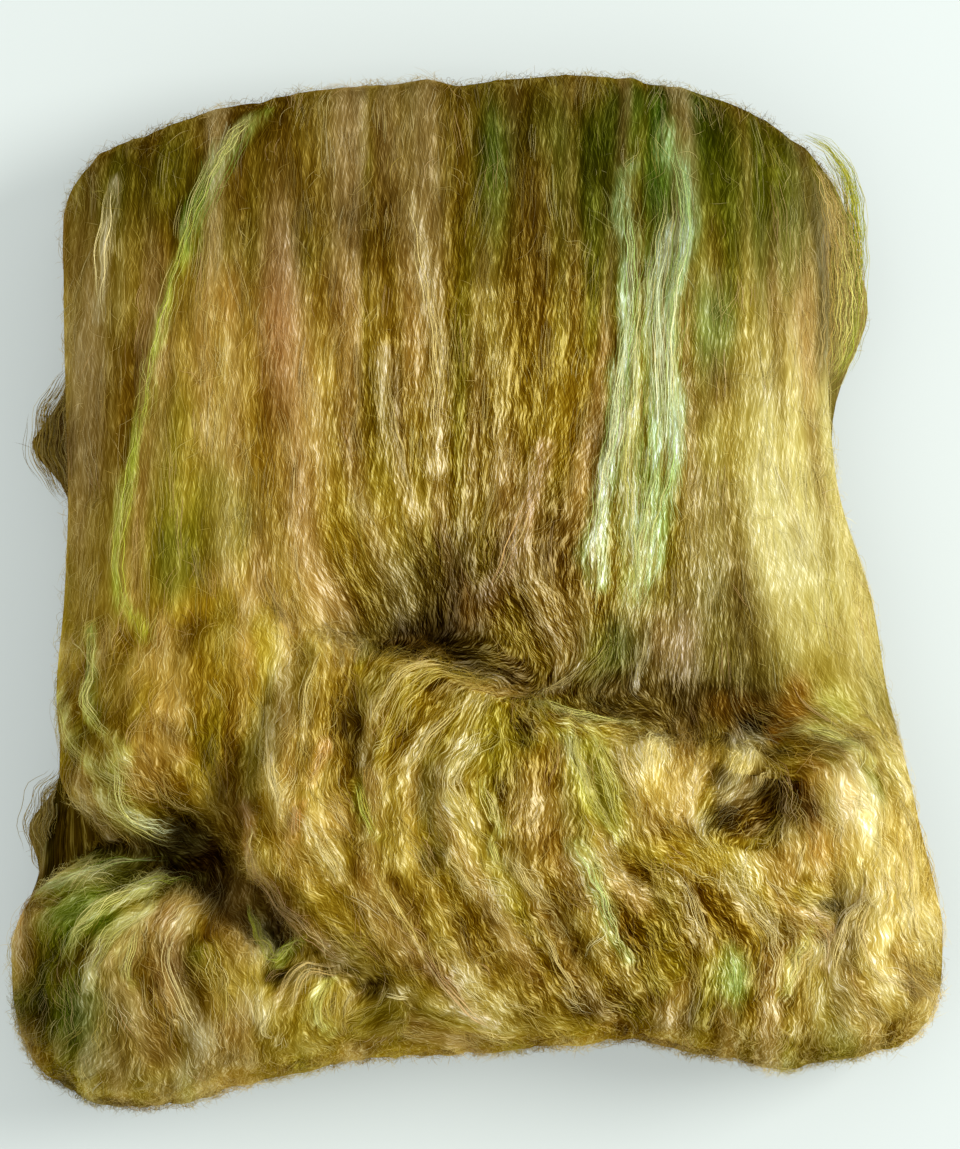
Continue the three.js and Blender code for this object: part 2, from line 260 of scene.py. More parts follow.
# Which way the fibres run over the top: degrees from straight towards the near edge, positive
# to the right, each felt for a reach round its place.
FLOW = table("x y turn reach", [
    (0, 110, 0, 90), (-90, 60, -3, 50), (90, 70, 4, 45), (-38, 26, 12, 26), (22, 30, -10, 24),
    (-30, 2, 30, 16), (8, -4, 24, 12), (21, -13, 40, 10), (32, -26, -42, 7), (-6, -6, -4, 8),
    (-80, 15, 2, 26), (75, 10, 6, 30), (104, -6, 14, 22), (45, -8, -6, 20), (-114, -28, -6, 16),
    (-101, -60, 34, 9), (-88, -71, 74, 8), (-84, -58, 30, 9), (-72, -50, -20, 9), (-60, -44, 4, 10),
    (-49, -52, -22, 8), (-62, -76, 12, 9), (-52, -93, 46, 9), (-42, -104, 44, 7), (-45, -76, 28, 8),
    (-36, -42, -12, 7), (-32, -62, 14, 8), (-29, -40, -16, 8), (-24, -28, -42, 6), (-16, -23, -66, 6),
    (-12, -27, -58, 5), (-5, -20.5, -88, 6), (-3, -25, -84, 5), (3, -23, -105, 5), (9, -28, -117, 5),
    (-16, -41, -44, 8), (-20, -56, -8, 8), (-5, -51, -24, 6), (-4, -64, 30, 6), (2, -40, -30, 7),
    (12, -40, 52, 6), (30, -38, 76, 6), (44, -40, 84, 6), (12, -58, 8, 10), (29, -54, 16, 8),
    (38, -66, 20, 9), (44, -55, 34, 6), (50, -51, 4, 6), (47, -84, 44, 9), (60, -94, 24, 8),
    (74, -90, 42, 8), (85, -110, -4, 8), (62, -125, -6, 7), (73, -113, 0, 7), (-22, -90, 28, 12),
    (-8, -110, 38, 12), (8, -122, 44, 12), (25, -100, 28, 12), (22, -122, 54, 9), (42, -112, 30, 10),
    (-28, -76, -10, 7), (86, -44, 60, 7), (76, -52, -32, 6), (75, -62, -54, 6), (101, -43, 64, 8),
    (108, -58, 20, 9), (108, -75, 8, 10), (112, -97, -28, 8), (112, -111, 30, 8), (124, -88, 4, 10),
    (127, -104, 34, 7), (97, -95, 62, 6), (92, -108, -24, 7), (83, -96, 44, 6), (-103, -91, -62, 8),
    (-115, -101, -30, 8), (-112, -114, 2, 8), (-100, -103, -28, 7), (-118, -86, -84, 7),
    (-127, -100, -10, 8), (-120, -126, -12, 10), (-96, -112, 10, 7), (-85, -96, -40, 6), (-89, -108, 2, 6),
    (-82, -122, 30, 8), (-72, -110, 22, 8), (-70, -128, 12, 10), (-46, -121, -6, 4), (-44, -114, -42, 4),
    (-43, -129, 30, 4), (-52, -111, -44, 5), (-38, -110, 60, 5), (-40, -121, 8, 4), (-30, -125, -62, 6),
    (-60, -126, -4, 6), (-8, -131, 70, 7), (-97, -83, -64, 7),
])


def srgb(*levels):
    """A colour as 0 to 255 levels on a screen, turned into linear light."""
    values = np.array(levels, dtype=float) / 255
    return np.where(values <= 0.04045, values / 12.92, ((values + 0.055) / 1.055) ** 2.4)


# Dyes, named as a dyer would, and "shade", the near black of painted shade in holes and pits; umber is a dye
# and also the colour of painted shade in folds
DYES = {
    "shade": srgb(30, 17, 1),
    "umber": srgb(62, 38, 2),
    "brown": srgb(108, 80, 14),
    "olive": srgb(100, 100, 14),
    "moss": srgb(60, 74, 8),
    "ochre": srgb(148, 124, 34),
    "gold": srgb(174, 152, 60),
    "straw": srgb(204, 184, 114),
    "tan": srgb(182, 154, 90),
    "rose tan": srgb(190, 152, 104),
    "cream": srgb(232, 216, 150),
    "rust": srgb(136, 88, 14),
    "peach": srgb(190, 140, 76),
    "green": srgb(98, 130, 34),
    "lime": srgb(160, 176, 46),
    "pale lime": srgb(202, 200, 106),
    "mint": srgb(168, 200, 112),
    "white mint": srgb(222, 232, 178),
}

# How light the fibre is over each part, partly how deep the dye took and partly painted light and shade, as
# darker along the far edge, in the funnel and by the right pit: places, how far each is felt, and how light
# the fibre came out
TONES_AND_PAINTED_LIGHT = table("x y reach light", [
    (-60, 128, 34, 0.62), (0, 128, 34, 0.56), (60, 128, 32, 0.62), (-104, 60, 30, 0.85),
    (-62, 50, 32, 1.22), (-8, 60, 26, 1.0), (48, 60, 20, 1.15), (86, 60, 26, 1.12), (-10, -4, 14, 0.55),
    (66, -30, 16, 0.72), (108, -20, 14, 1.15), (84, -62, 9, 0.66), (-14, 132, 16, 0.5),
    (-88, -36, 20, 1.15), (-110, -45, 14, 0.9), (-52, -60, 22, 1.1), (-12, -50, 26, 1.1),
    (10, -100, 32, 0.98), (48, -72, 26, 1.14), (100, -85, 26, 1.06), (-114, -112, 24, 0.72),
    (-45, -118, 20, 0.85),
])

# Patches of dye over the top: an oval, its dye and how much of it there is. The "shade" rows and the "umber"
# rows along the crease and in the pits are painted shade, and the "tan" row by the corner pit is partly
# painted light
PATCHES = [
    (54, 143, 15, 9, "moss", 0.75), (6, 126, 8, 20, "moss", 0.65), (33, 123, 13, 20, "moss", 0.5),
    (-86, 7, 7, 13, "moss", 0.6), (-57, 80, 7, 36, "rose tan", 0.6), (98, 103, 9, 16, "rose tan", 0.6),
    (96, 72, 7, 22, "rose tan", 0.5), (88, 92, 9, 18, "rose tan", 0.5), (-50, 42, 8, 32, "rose tan", 0.25),
    (69, 74, 6, 16, "mint", 0.3), (-16, 30, 11, 24, "gold", 0.4), (-34, 46, 7, 22, "brown", 0.6),
    (-84, 80, 6, 40, "brown", 0.45), (8, 28, 5, 18, "tan", 0.6), (22, 12, 6, 18, "umber", 0.45),
    (30, 8, 10, 16, "brown", 0.85), (90, 11, 17, 16, "brown", 0.6), (82, 118, 28, 22, "green", 0.28),
    (44, 92, 14, 30, "green", 0.2), (100, 104, 16, 14, "pale lime", 0.18),
    (-92, -30, 16, 14, "straw", 0.12), (-71, 84, 4, 12, "rust", 0.45), (-39, 107, 10, 14, "brown", 0.6),
    (-114, 56, 7, 60, "tan", 0.5), (90, 25, 24, 50, "straw", 0.8), (84, 12, 10, 26, "cream", 0.25),
    (112, 0, 10, 40, "straw", 0.5), (116, -76, 20, 44, "straw", 0.6), (108, 88, 8, 34, "tan", 0.7),
    (112, 74, 5, 14, "lime", 0.5), (105, 100, 5, 12, "rose tan", 0.5), (30, 132, 30, 12, "moss", 0.55),
    (74, 134, 18, 12, "moss", 0.5), (6, 116, 5, 26, "green", 0.4), (28, 112, 7, 22, "moss", 0.5),
    (52, 113, 5, 12, "moss", 0.85), (49, 31, 3, 9, "olive", 0.7), (54, 128, 8, 16, "green", 0.5),
    (84, 104, 14, 28, "olive", 0.6), (-100, 116, 16, 20, "olive", 0.5), (-74, 20, 16, 16, "olive", 0.5),
    (56, -16, 8, 12, "rose tan", 0.7), (40, -18, 10, 13, "moss", 0.8), (-6, -2, 14, 14, "brown", 0.85),
    (-4, -6, 11, 10, "umber", 0.55), (2, -4, 8, 8, "rust", 0.4), (0, -8, 10, 10, "rust", 0.5),
    # Painted shade beneath the crest, along the crease and in the pits
    (-15, -12, 10, 6, "shade", 0.95), (-18, -17, 11, 4.5, "shade", 1.0), (-20, -17, 6, 3, "shade", 0.8),
    (10, -25, 9, 3.4, "shade", 0.7), (26, -29, 10, 4, "umber", 0.75), (42, -29, 14, 7, "umber", 0.8),
    (60, -31, 14, 8, "umber", 0.8), (79, -33, 15, 9, "umber", 0.8), (74, -36, 12, 6, "rust", 0.4),
    (40, -37, 20, 4, "umber", 0.7), (82, -39, 8, 4, "shade", 0.8), (74, -44, 6, 3, "umber", 0.8),
    (88, -47, 5, 2, "shade", 0.7), (92, -33, 6, 9, "rust", 0.75), (96, -58, 6, 11, "rust", 0.7),
    (86, -42, 3, 3, "rust", 0.8), (70, -58, 3, 6, "umber", 0.8), (70, -67, 7, 6, "shade", 0.85),
    (86, -62, 11, 8, "umber", 0.85), (96, -65, 4, 3, "umber", 0.7), (104, -34, 7, 8, "pale lime", 0.3),
    (114, -57, 7, 7, "olive", 0.9), (106, -60, 4, 9, "rose tan", 0.5), (100, -75, 9, 10, "peach", 0.4),
    (104, -92, 11, 2.6, "shade", 0.85), (105, -97, 2.4, 4, "umber", 0.7), (89, -118, 3, 6, "umber", 0.6),
    (61, -124, 2.4, 9, "shade", 0.7), (36, -123, 22, 6, "umber", 0.45), (4, -106, 8, 12, "brown", 0.7),
    (46, -87, 7, 4, "umber", 0.5), (-14, -58, 3, 11, "olive", 0.6), (8, -60, 2.4, 9, "umber", 0.45),
    (25, -66, 2.4, 8, "umber", 0.4), (26, -48, 3, 4, "shade", 0.85), (14, -41.5, 2.4, 3, "umber", 0.7),
    (-12, -77, 4, 3, "shade", 0.85), (-7, -31, 7, 3, "shade", 0.85), (-35, -48, 3, 16, "umber", 0.55),
    (-70, -56, 5, 15, "brown", 0.9), (-86, -77, 20, 5, "shade", 1.0), (-80, -75, 7, 8, "shade", 1.0),
    (-112, -76, 15, 5, "shade", 0.8), (-118, -68, 12, 11, "umber", 0.7), (-122, 44, 8, 16, "umber", 0.7),
    (-112, -64, 8, 6, "brown", 0.6), (-88, -56, 9, 8, "brown", 0.7), (-84, -48, 5, 4, "rust", 0.5),
    (-58, -98, 5, 9, "shade", 0.95), (-57, -112, 4, 3, "shade", 0.8), (-30, -115, 5, 3, "shade", 0.95),
    (-40, -110.5, 11, 2.4, "shade", 0.7), (-40, -121, 8, 7, "gold", 0.6), (-50, -60, 11, 30, "tan", 0.5),
    (-40, -66, 6, 8, "tan", 0.4), (-18, -76, 12, 16, "gold", 0.5), (-14, -30, 16, 10, "gold", 0.5),
    (48, -58, 8, 14, "straw", 0.6), (50, -50, 5, 6, "cream", 0.7), (34, -60, 8, 18, "pale lime", 0.35),
    (16, -66, 7, 14, "tan", 0.5), (22, -76, 5, 10, "rust", 0.3), (6, -115, 40, 14, "brown", 0.4),
    (-10, -133, 26, 4, "gold", 0.55), (-112, -96, 12, 12, "green", 0.7), (-98, -86, 14, 5, "moss", 0.6),
    (-104, -79, 13, 5, "green", 0.7), (-116, -124, 20, 15, "moss", 0.95), (-122, -108, 8, 12, "olive", 0.6),
    (-92, -134, 20, 10, "brown", 0.7), (-131, -98, 4, 12, "peach", 0.6),
    (-87, -106, 5, 16, "rose tan", 0.7), (-81, -105, 4, 6, "olive", 0.7), (-70, -120, 10, 14, "rust", 0.35),
    (-66, -102, 6, 8, "tan", 0.6), (-100, -122, 6, 10, "brown", 0.6), (72, -113, 6, 9, "mint", 0.35),
    (77, -51, 5, 8, "cream", 0.85), (123, -92, 12, 40, "straw", 0.6), (-68, -92, 8, 9, "tan", 0.9),
]

# Dyed locks laid along the web: half their width, dye and strength, then the line they follow
LOCKS = [
    (2.4, "lime", 0.6, [(-62, 141), (-68, 131), (-74, 124), (-78, 115), (-83, 101), (-87, 90), (-90, 79),
        (-94, 64), (-97, 45), (-101, 26), (-103, 8), (-102, -6), (-96, -14)]),
    (2.6, "green", 0.9, [(-75, 126), (-78, 118), (-81, 110), (-84, 102)]),
    (3.8, "green", 0.45, [(-63, 140), (-70, 127), (-78, 113), (-83, 98)]),
    (3, "pale lime", 0.7, [(-65, 137), (-71, 128), (-76, 119)]),
    (8, "green", 0.5, [(56, 122), (55, 104), (51, 84), (49, 64), (48, 42), (47, 22), (46, 0)]),
    (2.6, "mint", 0.75, [(56, 133), (55, 126), (59, 120), (60, 113), (61, 103), (60, 95), (57, 86),
        (55, 78), (57, 72), (55, 64), (56, 55), (58, 47), (57, 36), (56, 28), (52, 20), (50, 12), (50, 2)]),
    (1.3, "white mint", 0.85, [(61, 104), (60, 95), (57, 86), (56, 76), (55, 64), (57, 54), (58, 45),
        (57, 36)]),
    (3.2, "white mint", 0.7, [(58, 104), (54, 95), (51, 87), (52, 76), (53, 66), (53, 54), (54, 45),
        (52, 36)]),
    (2.8, "mint", 0.75, [(44, 120), (42, 108), (45, 96), (44, 86), (44, 76), (43, 67), (41, 60), (40, 52),
        (41, 45), (38, 36), (36, 26), (36, 18), (33, 10), (35, 1)]),
    (1.4, "white mint", 0.9, [(45, 92), (44, 78), (43, 67), (41, 60), (40, 52), (41, 45), (38, 36),
        (36, 26), (36, 18), (33, 10), (35, 2)]),
    (0.9, "white mint", 0.8, [(47, 74), (45, 62), (47, 55), (45, 51), (41, 48)]),
    (2.2, "pale lime", 0.6, [(49, 88), (47, 72), (46, 56), (44, 44), (43, 33), (45, 17), (46, 6), (45, -4)]),
    (2.0, "mint", 0.6, [(52, 46), (52, 30), (48, 20), (46, 8), (46, -3)]),
    (2.6, "straw", 0.6, [(-20, 112), (-16, 97), (-12, 77), (-10, 56), (-12, 34)]),
    (1.6, "cream", 0.5, [(-105, 118), (-108, 98), (-108, 78)]),
    (3, "straw", 0.5, [(-28, 66), (-24, 40), (-18, 20)]),
    (3, "rose tan", 0.5, [(20, 40), (14, 18), (4, -2)]),
    (2, "green", 0.7, [(-111, -12), (-109, -24), (-111, -38)]),
    (1.4, "pale lime", 0.64, [(-109, -20), (-112, -32), (-110, -40), (-104, -44)]),
    (2.4, "pale lime", 0.64, [(-121, -32), (-117, -44), (-112, -50), (-107, -53)]),
    (3.6, "pale lime", 0.72, [(-101, -48), (-104, -58), (-100, -66), (-93, -71), (-83, -74)]),
    (1.1, "white mint", 0.64, [(-100, -65), (-93, -69), (-85, -70)]),
    (2.1, "green", 0.72, [(-128, -87), (-118, -86), (-110, -84), (-104, -80), (-96, -77), (-87, -78)]),
    (1.8, "pale lime", 0.8, [(-93, -87), (-103, -90), (-111, -96), (-117, -106)]),
    (2.0, "pale lime", 0.76, [(-93, -92), (-101, -97), (-107, -104), (-110, -114)]),
    (2.1, "lime", 0.64, [(-98, -87), (-90, -84), (-80, -84)]),
    (1.8, "pale lime", 0.48, [(-96, -98), (-101, -106), (-98, -114)]),
    (2.7, "cream", 0.46, [(-82, -94), (-88, -100), (-89, -109), (-85, -117), (-80, -126), (-75, -131)]),
    (1.8, "pale lime", 0.8, [(-66, -90), (-63, -97), (-60, -104), (-57, -107)]),
    (1.4, "lime", 0.8, [(-57, -107), (-54, -104), (-50, -101)]),
    (2.4, "rose tan", 0.72, [(-66, -64), (-65, -75), (-62, -84), (-57, -91), (-50, -97), (-43, -103),
        (-38, -108)]),
    (1.6, "straw", 0.64, [(-59, -36), (-58, -50), (-55, -60), (-56, -69)]),
    (2.1, "cream", 0.37, [(-48, -69), (-44, -76), (-40, -84)]),
    (1.8, "peach", 0.64, [(-43, -46), (-48, -57)]),
    (1.6, "peach", 0.72, [(-51, -63), (-52, -73)]),
    (1.4, "lime", 0.48, [(-35, -56), (-31, -66), (-29, -73)]),
    (2.4, "straw", 0.4, [(-44, -20), (-48, -32), (-50, -44)]),
    (1.8, "straw", 0.72, [(-33, -50), (-30, -38), (-23, -29), (-13, -24), (-2, -22.5), (7, -27)]),
    (1.9, "gold", 0.72, [(-28, -52), (-25, -40), (-18, -31), (-9, -27), (4, -28)]),
    (1.8, "straw", 0.56, [(-21, -58), (-16, -45), (-8, -38), (3, -34)]),
    (2.9, "cream", 0.59, [(-3, -47), (-7, -54), (-6, -62), (0, -68)]),
    (1.8, "pale lime", 0.72, [(2, -57), (5, -66), (8, -71)]),
    (1.8, "pale lime", 0.56, [(4, -72), (6, -81)]),
    (1.1, "pale lime", 0.6, [(17, -34), (26, -36.5), (34, -39), (46, -40)]),
    (1.1, "straw", 0.64, [(18, -32), (25, -28), (31, -22)]),
    (2.1, "pale lime", 0.68, [(26, -40), (29, -50), (31, -58), (35, -66), (40, -73)]),
    (1.8, "pale lime", 0.6, [(31, -42), (36, -52), (39, -62), (41, -72)]),
    (3.2, "cream", 0.56, [(52, -44), (50, -50), (49, -58)]),
    (2.4, "cream", 0.37, [(40, -46), (42, -54), (46, -61)]),
    (1.8, "straw", 0.48, [(10, -78), (14, -84), (20, -91)]),
    (2.4, "mint", 0.4, [(28, -75), (33, -84), (37, -92), (38, -99), (42, -107)]),
    (2.4, "cream", 0.37, [(58, -82), (62, -92), (66, -103)]),
    (2.4, "mint", 0.28, [(73, -105), (74, -119)]),
    (2.4, "cream", 0.37, [(71, -85), (80, -95), (86, -101), (86, -110), (84, -121)]),
    (3.2, "cream", 0.7, [(80, -45), (77, -50), (74, -57), (72, -60)]),
    (1.2, "straw", 0.5, [(84, -54), (79, -60)]),
    (1.1, "cream", 0.5, [(46, -28), (49, -20), (50, -10)]),
    (1.9, "pale lime", 0.64, [(93, -40), (101, -42), (108, -46), (114, -51)]),
    (1.8, "straw", 0.56, [(114, -88), (108, -98), (110, -108), (118, -117)]),
    (1.6, "straw", 0.48, [(109, -92), (104, -102), (103, -114)]),
    (1.8, "pale lime", 0.64, [(95, -99), (91, -106), (88, -117)]),
    (1.9, "rose tan", 0.64, [(91, -93.5), (99, -96), (103, -100), (101, -109)]),
    (2.1, "straw", 0.64, [(124, -66), (126, -84), (123, -96), (129, -107)]),
    (1.9, "pale lime", 0.8, [(-41, -112.5), (-45, -117), (-46.5, -124), (-42, -131)]),
    (1.8, "gold", 0.72, [(-39, -114), (-42.5, -120), (-40, -128)]),
    (1.4, "straw", 0.56, [(-35, -116), (-38.5, -119), (-38, -125)]),
    (1.3, "tan", 0.72, [(-56, -119), (-53, -111.5), (-46, -107.5), (-38, -109)]),
    (1.4, "tan", 0.56, [(-53, -121), (-50, -113), (-44, -110), (-36, -112)]),
    (1.4, "cream", 0.5, [(-57, -119), (-60.5, -124), (-60, -130), (-57, -132.5)]),
    (1.3, "cream", 0.43, [(-26, -117.5), (-21, -117), (-19, -119)]),
    (1.8, "rose tan", 0.56, [(-18, -101), (-12, -111), (-3, -121), (5, -130)]),
    (1.8, "gold", 0.56, [(-30, -80), (-22, -93), (-14, -107)]),
    (1.3, "straw", 0.72, [(-9, -76), (-4, -84), (0, -89)]),
    (1.8, "straw", 0.4, [(16, -96), (24, -108), (30, -122)]),
]


# Curves and noise

def eased(share):
    return share * share * (3 - 2 * share)


def smooth(value, low, high):
    return eased(np.clip((value - low) / (high - low), 0, 1))


def mix(a, b, share):
    return a + (b - a) * share


def read(rows, key, column, at):
    """Reads a column of a table between its rows, along the same smooth curve as the solid's."""
    knots, values = rows[key], rows[column]
    place = np.clip(at, knots[0], knots[-1])
    i = np.clip(np.searchsorted(knots, place) - 1, 0, len(knots) - 2)
    slopes = np.diff(values) / np.diff(knots)
    tangents = np.concatenate([slopes[:1], (slopes[:-1] + slopes[1:]) / 2, slopes[-1:]])
    span = knots[i + 1] - knots[i]
    share = (place - knots[i]) / span
    rise = slopes[i] * span
    bend = share * (1 - share)
    start, end = tangents[i] * span - rise, tangents[i + 1] * span - rise
    return values[i] + rise * share + bend * (start * (1 - share) - end * share)


def noise(x, y, seed):
    """Smooth noise from -1 to 1 with features one unit across."""
    lattice = np.random.default_rng(seed).uniform(-1, 1, (LATTICE, LATTICE))
    xi, yi = np.floor(x).astype(int), np.floor(y).astype(int)
    fx, fy = eased(x - xi), eased(y - yi)
    corner = lambda i, j: lattice[(xi + i) % LATTICE, (yi + j) % LATTICE]
    return mix(mix(corner(0, 0), corner(1, 0), fx), mix(corner(0, 1), corner(1, 1), fx), fy)


def ripples(x, y, sizes, start=0):
    """Noise in a few sizes, put on top of start."""
    total = start
    for strength, across, along, seed in sizes:
        total = total + strength * noise(x / across, y / along, seed)
    return total


def oval(x, y, cx, cy, across, along):
    """One in the middle of an oval, and fading out past its rim."""
    return np.exp(-(((x - cx) / across) ** 2) - ((y - cy) / along) ** 2)


def felt(x, y, cx, cy, reach):
    """How strongly a round spot is felt at a place."""
    return np.exp(-((x - cx) ** 2 + (y - cy) ** 2) / reach ** 2)


# The form of the web

def section(column, x):
    return read(SECTIONS, "x", column, x)


def side(column, y):
    return read(SIDES, "y", column, y)


def near_line(line, x, y):
    """Distance from a line of points, and the place along it that is nearest, in segments."""
    best = np.full(np.shape(x), np.inf)
    where = np.zeros(np.shape(x))
    for i in range(len(line["x"]) - 1):
        ax, ay = line["x"][i], line["y"][i]
        dx, dy = line["x"][i + 1] - ax, line["y"][i + 1] - ay
        share = np.clip(((x - ax) * dx + (y - ay) * dy) / (dx * dx + dy * dy), 0, 1)
        distance = np.hypot(x - ax - dx * share, y - ay - dy * share)
        closer = distance < best
        best = np.where(closer, distance, best)
        where = np.where(closer, i + share, where)
    return best, where


def pressed(fold, x, y):
    distance, where = near_line(fold, x, y)
    steps = np.arange(len(fold["x"]))
    off = np.clip(distance / np.interp(where, steps, fold["reach"]), 0, 1)
    return np.interp(where, steps, fold["drop"]) * (1 - off ** 2) ** 2


def crease(x, y):
    off = y - section("crease", x)
    far = np.clip(off / CREASE_FAR, 0, 1)
    near = np.clip(-off / CREASE_NEAR, 0, 1)
    return section("drop", x) * np.where(off > 0, (1 - far) ** SLOPE_FAR, (1 - near) ** SLOPE_NEAR)


def folded(x, y):
    """Depth of the folds over any place, with edges that wander a little."""
    wayward_x, wayward_y = ripples(x, y, WANDER_ACROSS, x), ripples(x, y, WANDER_ALONG, y)
    depth = crease(wayward_x, wayward_y)
    for fold in FOLDS.values():
        depth = np.maximum(depth, pressed(fold, wayward_x, wayward_y))
    return depth


def in_the_open(x, y, low, high):
    """One where no fold is deeper than low, and nothing past high."""
    return 1 - smooth(folded(x, y), low, high)


def swell(x, y):
    total = np.zeros(np.shape(x))
    for cx, cy, rise, along, across in zip(*SWELLS.values()):
        total += rise * oval(x, y, cx, cy, across, along)
    return total


def droop(x, y):
    inside = np.maximum(0, np.minimum(x - side("left", y), side("right", y) - x))
    return 1 - SIDE_DROP * (1 - np.minimum(1, inside / SIDE_REACH)) ** 2


def height(x, y):
    """Height of the pile's top over any place of the table."""
    towards_panel = smooth(y - section("crease", x), -HEIGHT_RAMP, HEIGHT_RAMP)
    plain = mix(section("roll", x), section("panel", x), towards_panel)
    return (plain + swell(x, y) + ripples(x, y, LOFT) - folded(x, y)) * droop(x, y)


def faces(layer, x, y):
    """Lower and upper face of a layer as shares of the pile's height."""
    doubled = 1 - smooth(y - section("crease", x), -DOUBLED_RAMP, DOUBLED_RAMP)
    half = GAP_SHARE / 2
    first, second, third = mix(1 / 3, 1 / 4, doubled), mix(2 / 3, 1 / 2, doubled), mix(2 / 3, 3 / 4, doubled)
    return {
        "under": (0 * x, first - half),
        "middle": (first + half, second - half),
        "inner": (second + half, third - half),
        "top": (third + half, 1 + 0 * x),
    }[layer]


def lean(x, y, z):
    off = (y - section("crease", x) + LIP_SET_BACK) / LIP_WIDTH
    return LIP_SHARE * section("lip", x) * np.exp(-(off ** 2)) * np.minimum(1, z / FULL_HEIGHT) ** 2


def tuft(layer, edge, y):
    total = 0 * y
    for row_layer, row_edge, place, spread, reach in TUFTS:
        if (row_layer, row_edge) == (layer, edge):
            total = total + reach * np.exp(-(((y - place) / spread) ** 2))
    return total


def across_at(layer, share, y):
    """Place across the batt of a layer's station, and its distance in from that layer's edge."""
    left, right = side("left", y), side("right", y)
    plain = mix(left, right, share)
    left_shift, right_shift = -tuft(layer, "left", y), tuft(layer, "right", y)
    x = plain + left_shift * np.clip(1 - (plain - left) / TUFT_REACH, 0, 1)
    x = x + right_shift * np.clip(1 - (right - plain) / TUFT_REACH, 0, 1)
    return x, np.minimum(x - left - left_shift, right + right_shift - x)


def feather(inside):
    off = 1 - np.clip(inside / EDGE_ROUND, 0, 1)
    return np.maximum(EDGE_THIN, np.sqrt(1 - off * off))


def along_at(x, step):
    """Place along the batt: step 0 is the near turn, 1 the crease, 2 the far turn."""
    near = section("near", x) + NEAR_NOSE
    line = section("crease", x)
    far = section("far", x) - FAR_NOSE
    return mix(near, line, step) if step < 1 else mix(line, far, step - 1)


def plan_at(layer, share, step):
    y = along_at(0 * share, step)
    x, inside = across_at(layer, share, y)
    for _ in range(PLAN_ROUNDS):
        y = mix(y, along_at(x, step), PLAN_STRIDE)
        x, inside = across_at(layer, share, y)
    return x, along_at(x, step), inside


def flat_points(layer, step, share, thin=1.0, push=0.0):
    """Outer and inner face of the web where it lies flat."""
    x, y, inside = plan_at(layer, share, step)
    y = y + push
    pile = height(x, y)
    low, high = faces(layer, x, y)
    centre, half = (low + high) / 2, (high - low) / 2 * feather(inside) * thin
    place = lambda level: np.stack([x, y + lean(x, y, level * pile), level * pile], -1)
    lower, upper = place(centre - half), place(centre + half)
    return (upper, lower) if layer in ("top", "inner") else (lower, upper)


def turn_points(layers, step, bulge, angle, share):
    """Outer and inner face of the web where it turns from a lower layer up to a higher one."""
    around = angle / math.pi
    (low_x, _, low_inside), (high_x, _, high_inside) = [plan_at(layer, share, step) for layer in layers]
    x = mix(low_x, high_x, around)
    y = along_at(x, step)
    pile = height(x, y)
    thin = feather(mix(low_inside, high_inside, around))
    lower, higher = [faces(layer, x, y) for layer in layers]
    middles = [sum(lower) / 2, sum(higher) / 2]
    full = (higher[1] - lower[0]) / 2

    def place(low, high):
        start, end = mix(middles[0], low, thin), mix(middles[1], high, thin)
        radius = (end - start) / 2
        z = pile * ((start + end) / 2 - math.cos(angle) * radius)
        return np.stack([x, y + bulge * radius / full * math.sin(angle) + lean(x, y, z), z], -1)

    return place(lower[0], higher[1]), place(lower[1], higher[0])


def evenly(low, high, count):
    return list(np.linspace(low, high, count))


def stations():
    """Every station along the web, from its loose end underneath to its inner end."""
    back = evenly(2, 0, UNDER_ROWS)
    rows = [("flat", "under", 2, END_THIN, UNDER_END), ("flat", "under", 2, SHOULDER_THIN, UNDER_SHOULDER)]
    rows += [("flat", "under", step, 1, 0) for step in back]
    turns = lambda layers, step, bulge, count: [
        ("turn", layers, step, bulge, math.pi * (i + 1) / (count + 1)) for i in range(count)]
    rows += turns(("under", "top"), 0, -NEAR_NOSE, NEAR_TURN_ROWS)
    rows += [("flat", "top", step, 1, 0) for step in evenly(0, 1, ROLL_ROWS)[:-1] + evenly(1, 2, PANEL_ROWS)]
    rows += turns(("middle", "top"), 2, FAR_NOSE, FAR_TURN_ROWS)[::-1]
    rows += [("flat", "middle", step, 1, 0) for step in evenly(2, 0, MIDDLE_ROWS)]
    rows += turns(("middle", "inner"), 0, -NEAR_NOSE * (0.5 - GAP_SHARE), INNER_TURN_ROWS)
    rows += [("flat", "inner", step, 1, 0) for step in evenly(0, INNER_END - INNER_END_RAMP, INNER_ROWS)]
    rows += [("flat", "inner", INNER_END, END_THIN, 0)]
    return rows


def edge_crowded(count):
    """Shares of the width, closer together near both sides."""
    even = np.linspace(0, 1, count)
    return even - EDGE_CROWDING * np.sin(2 * math.pi * even)


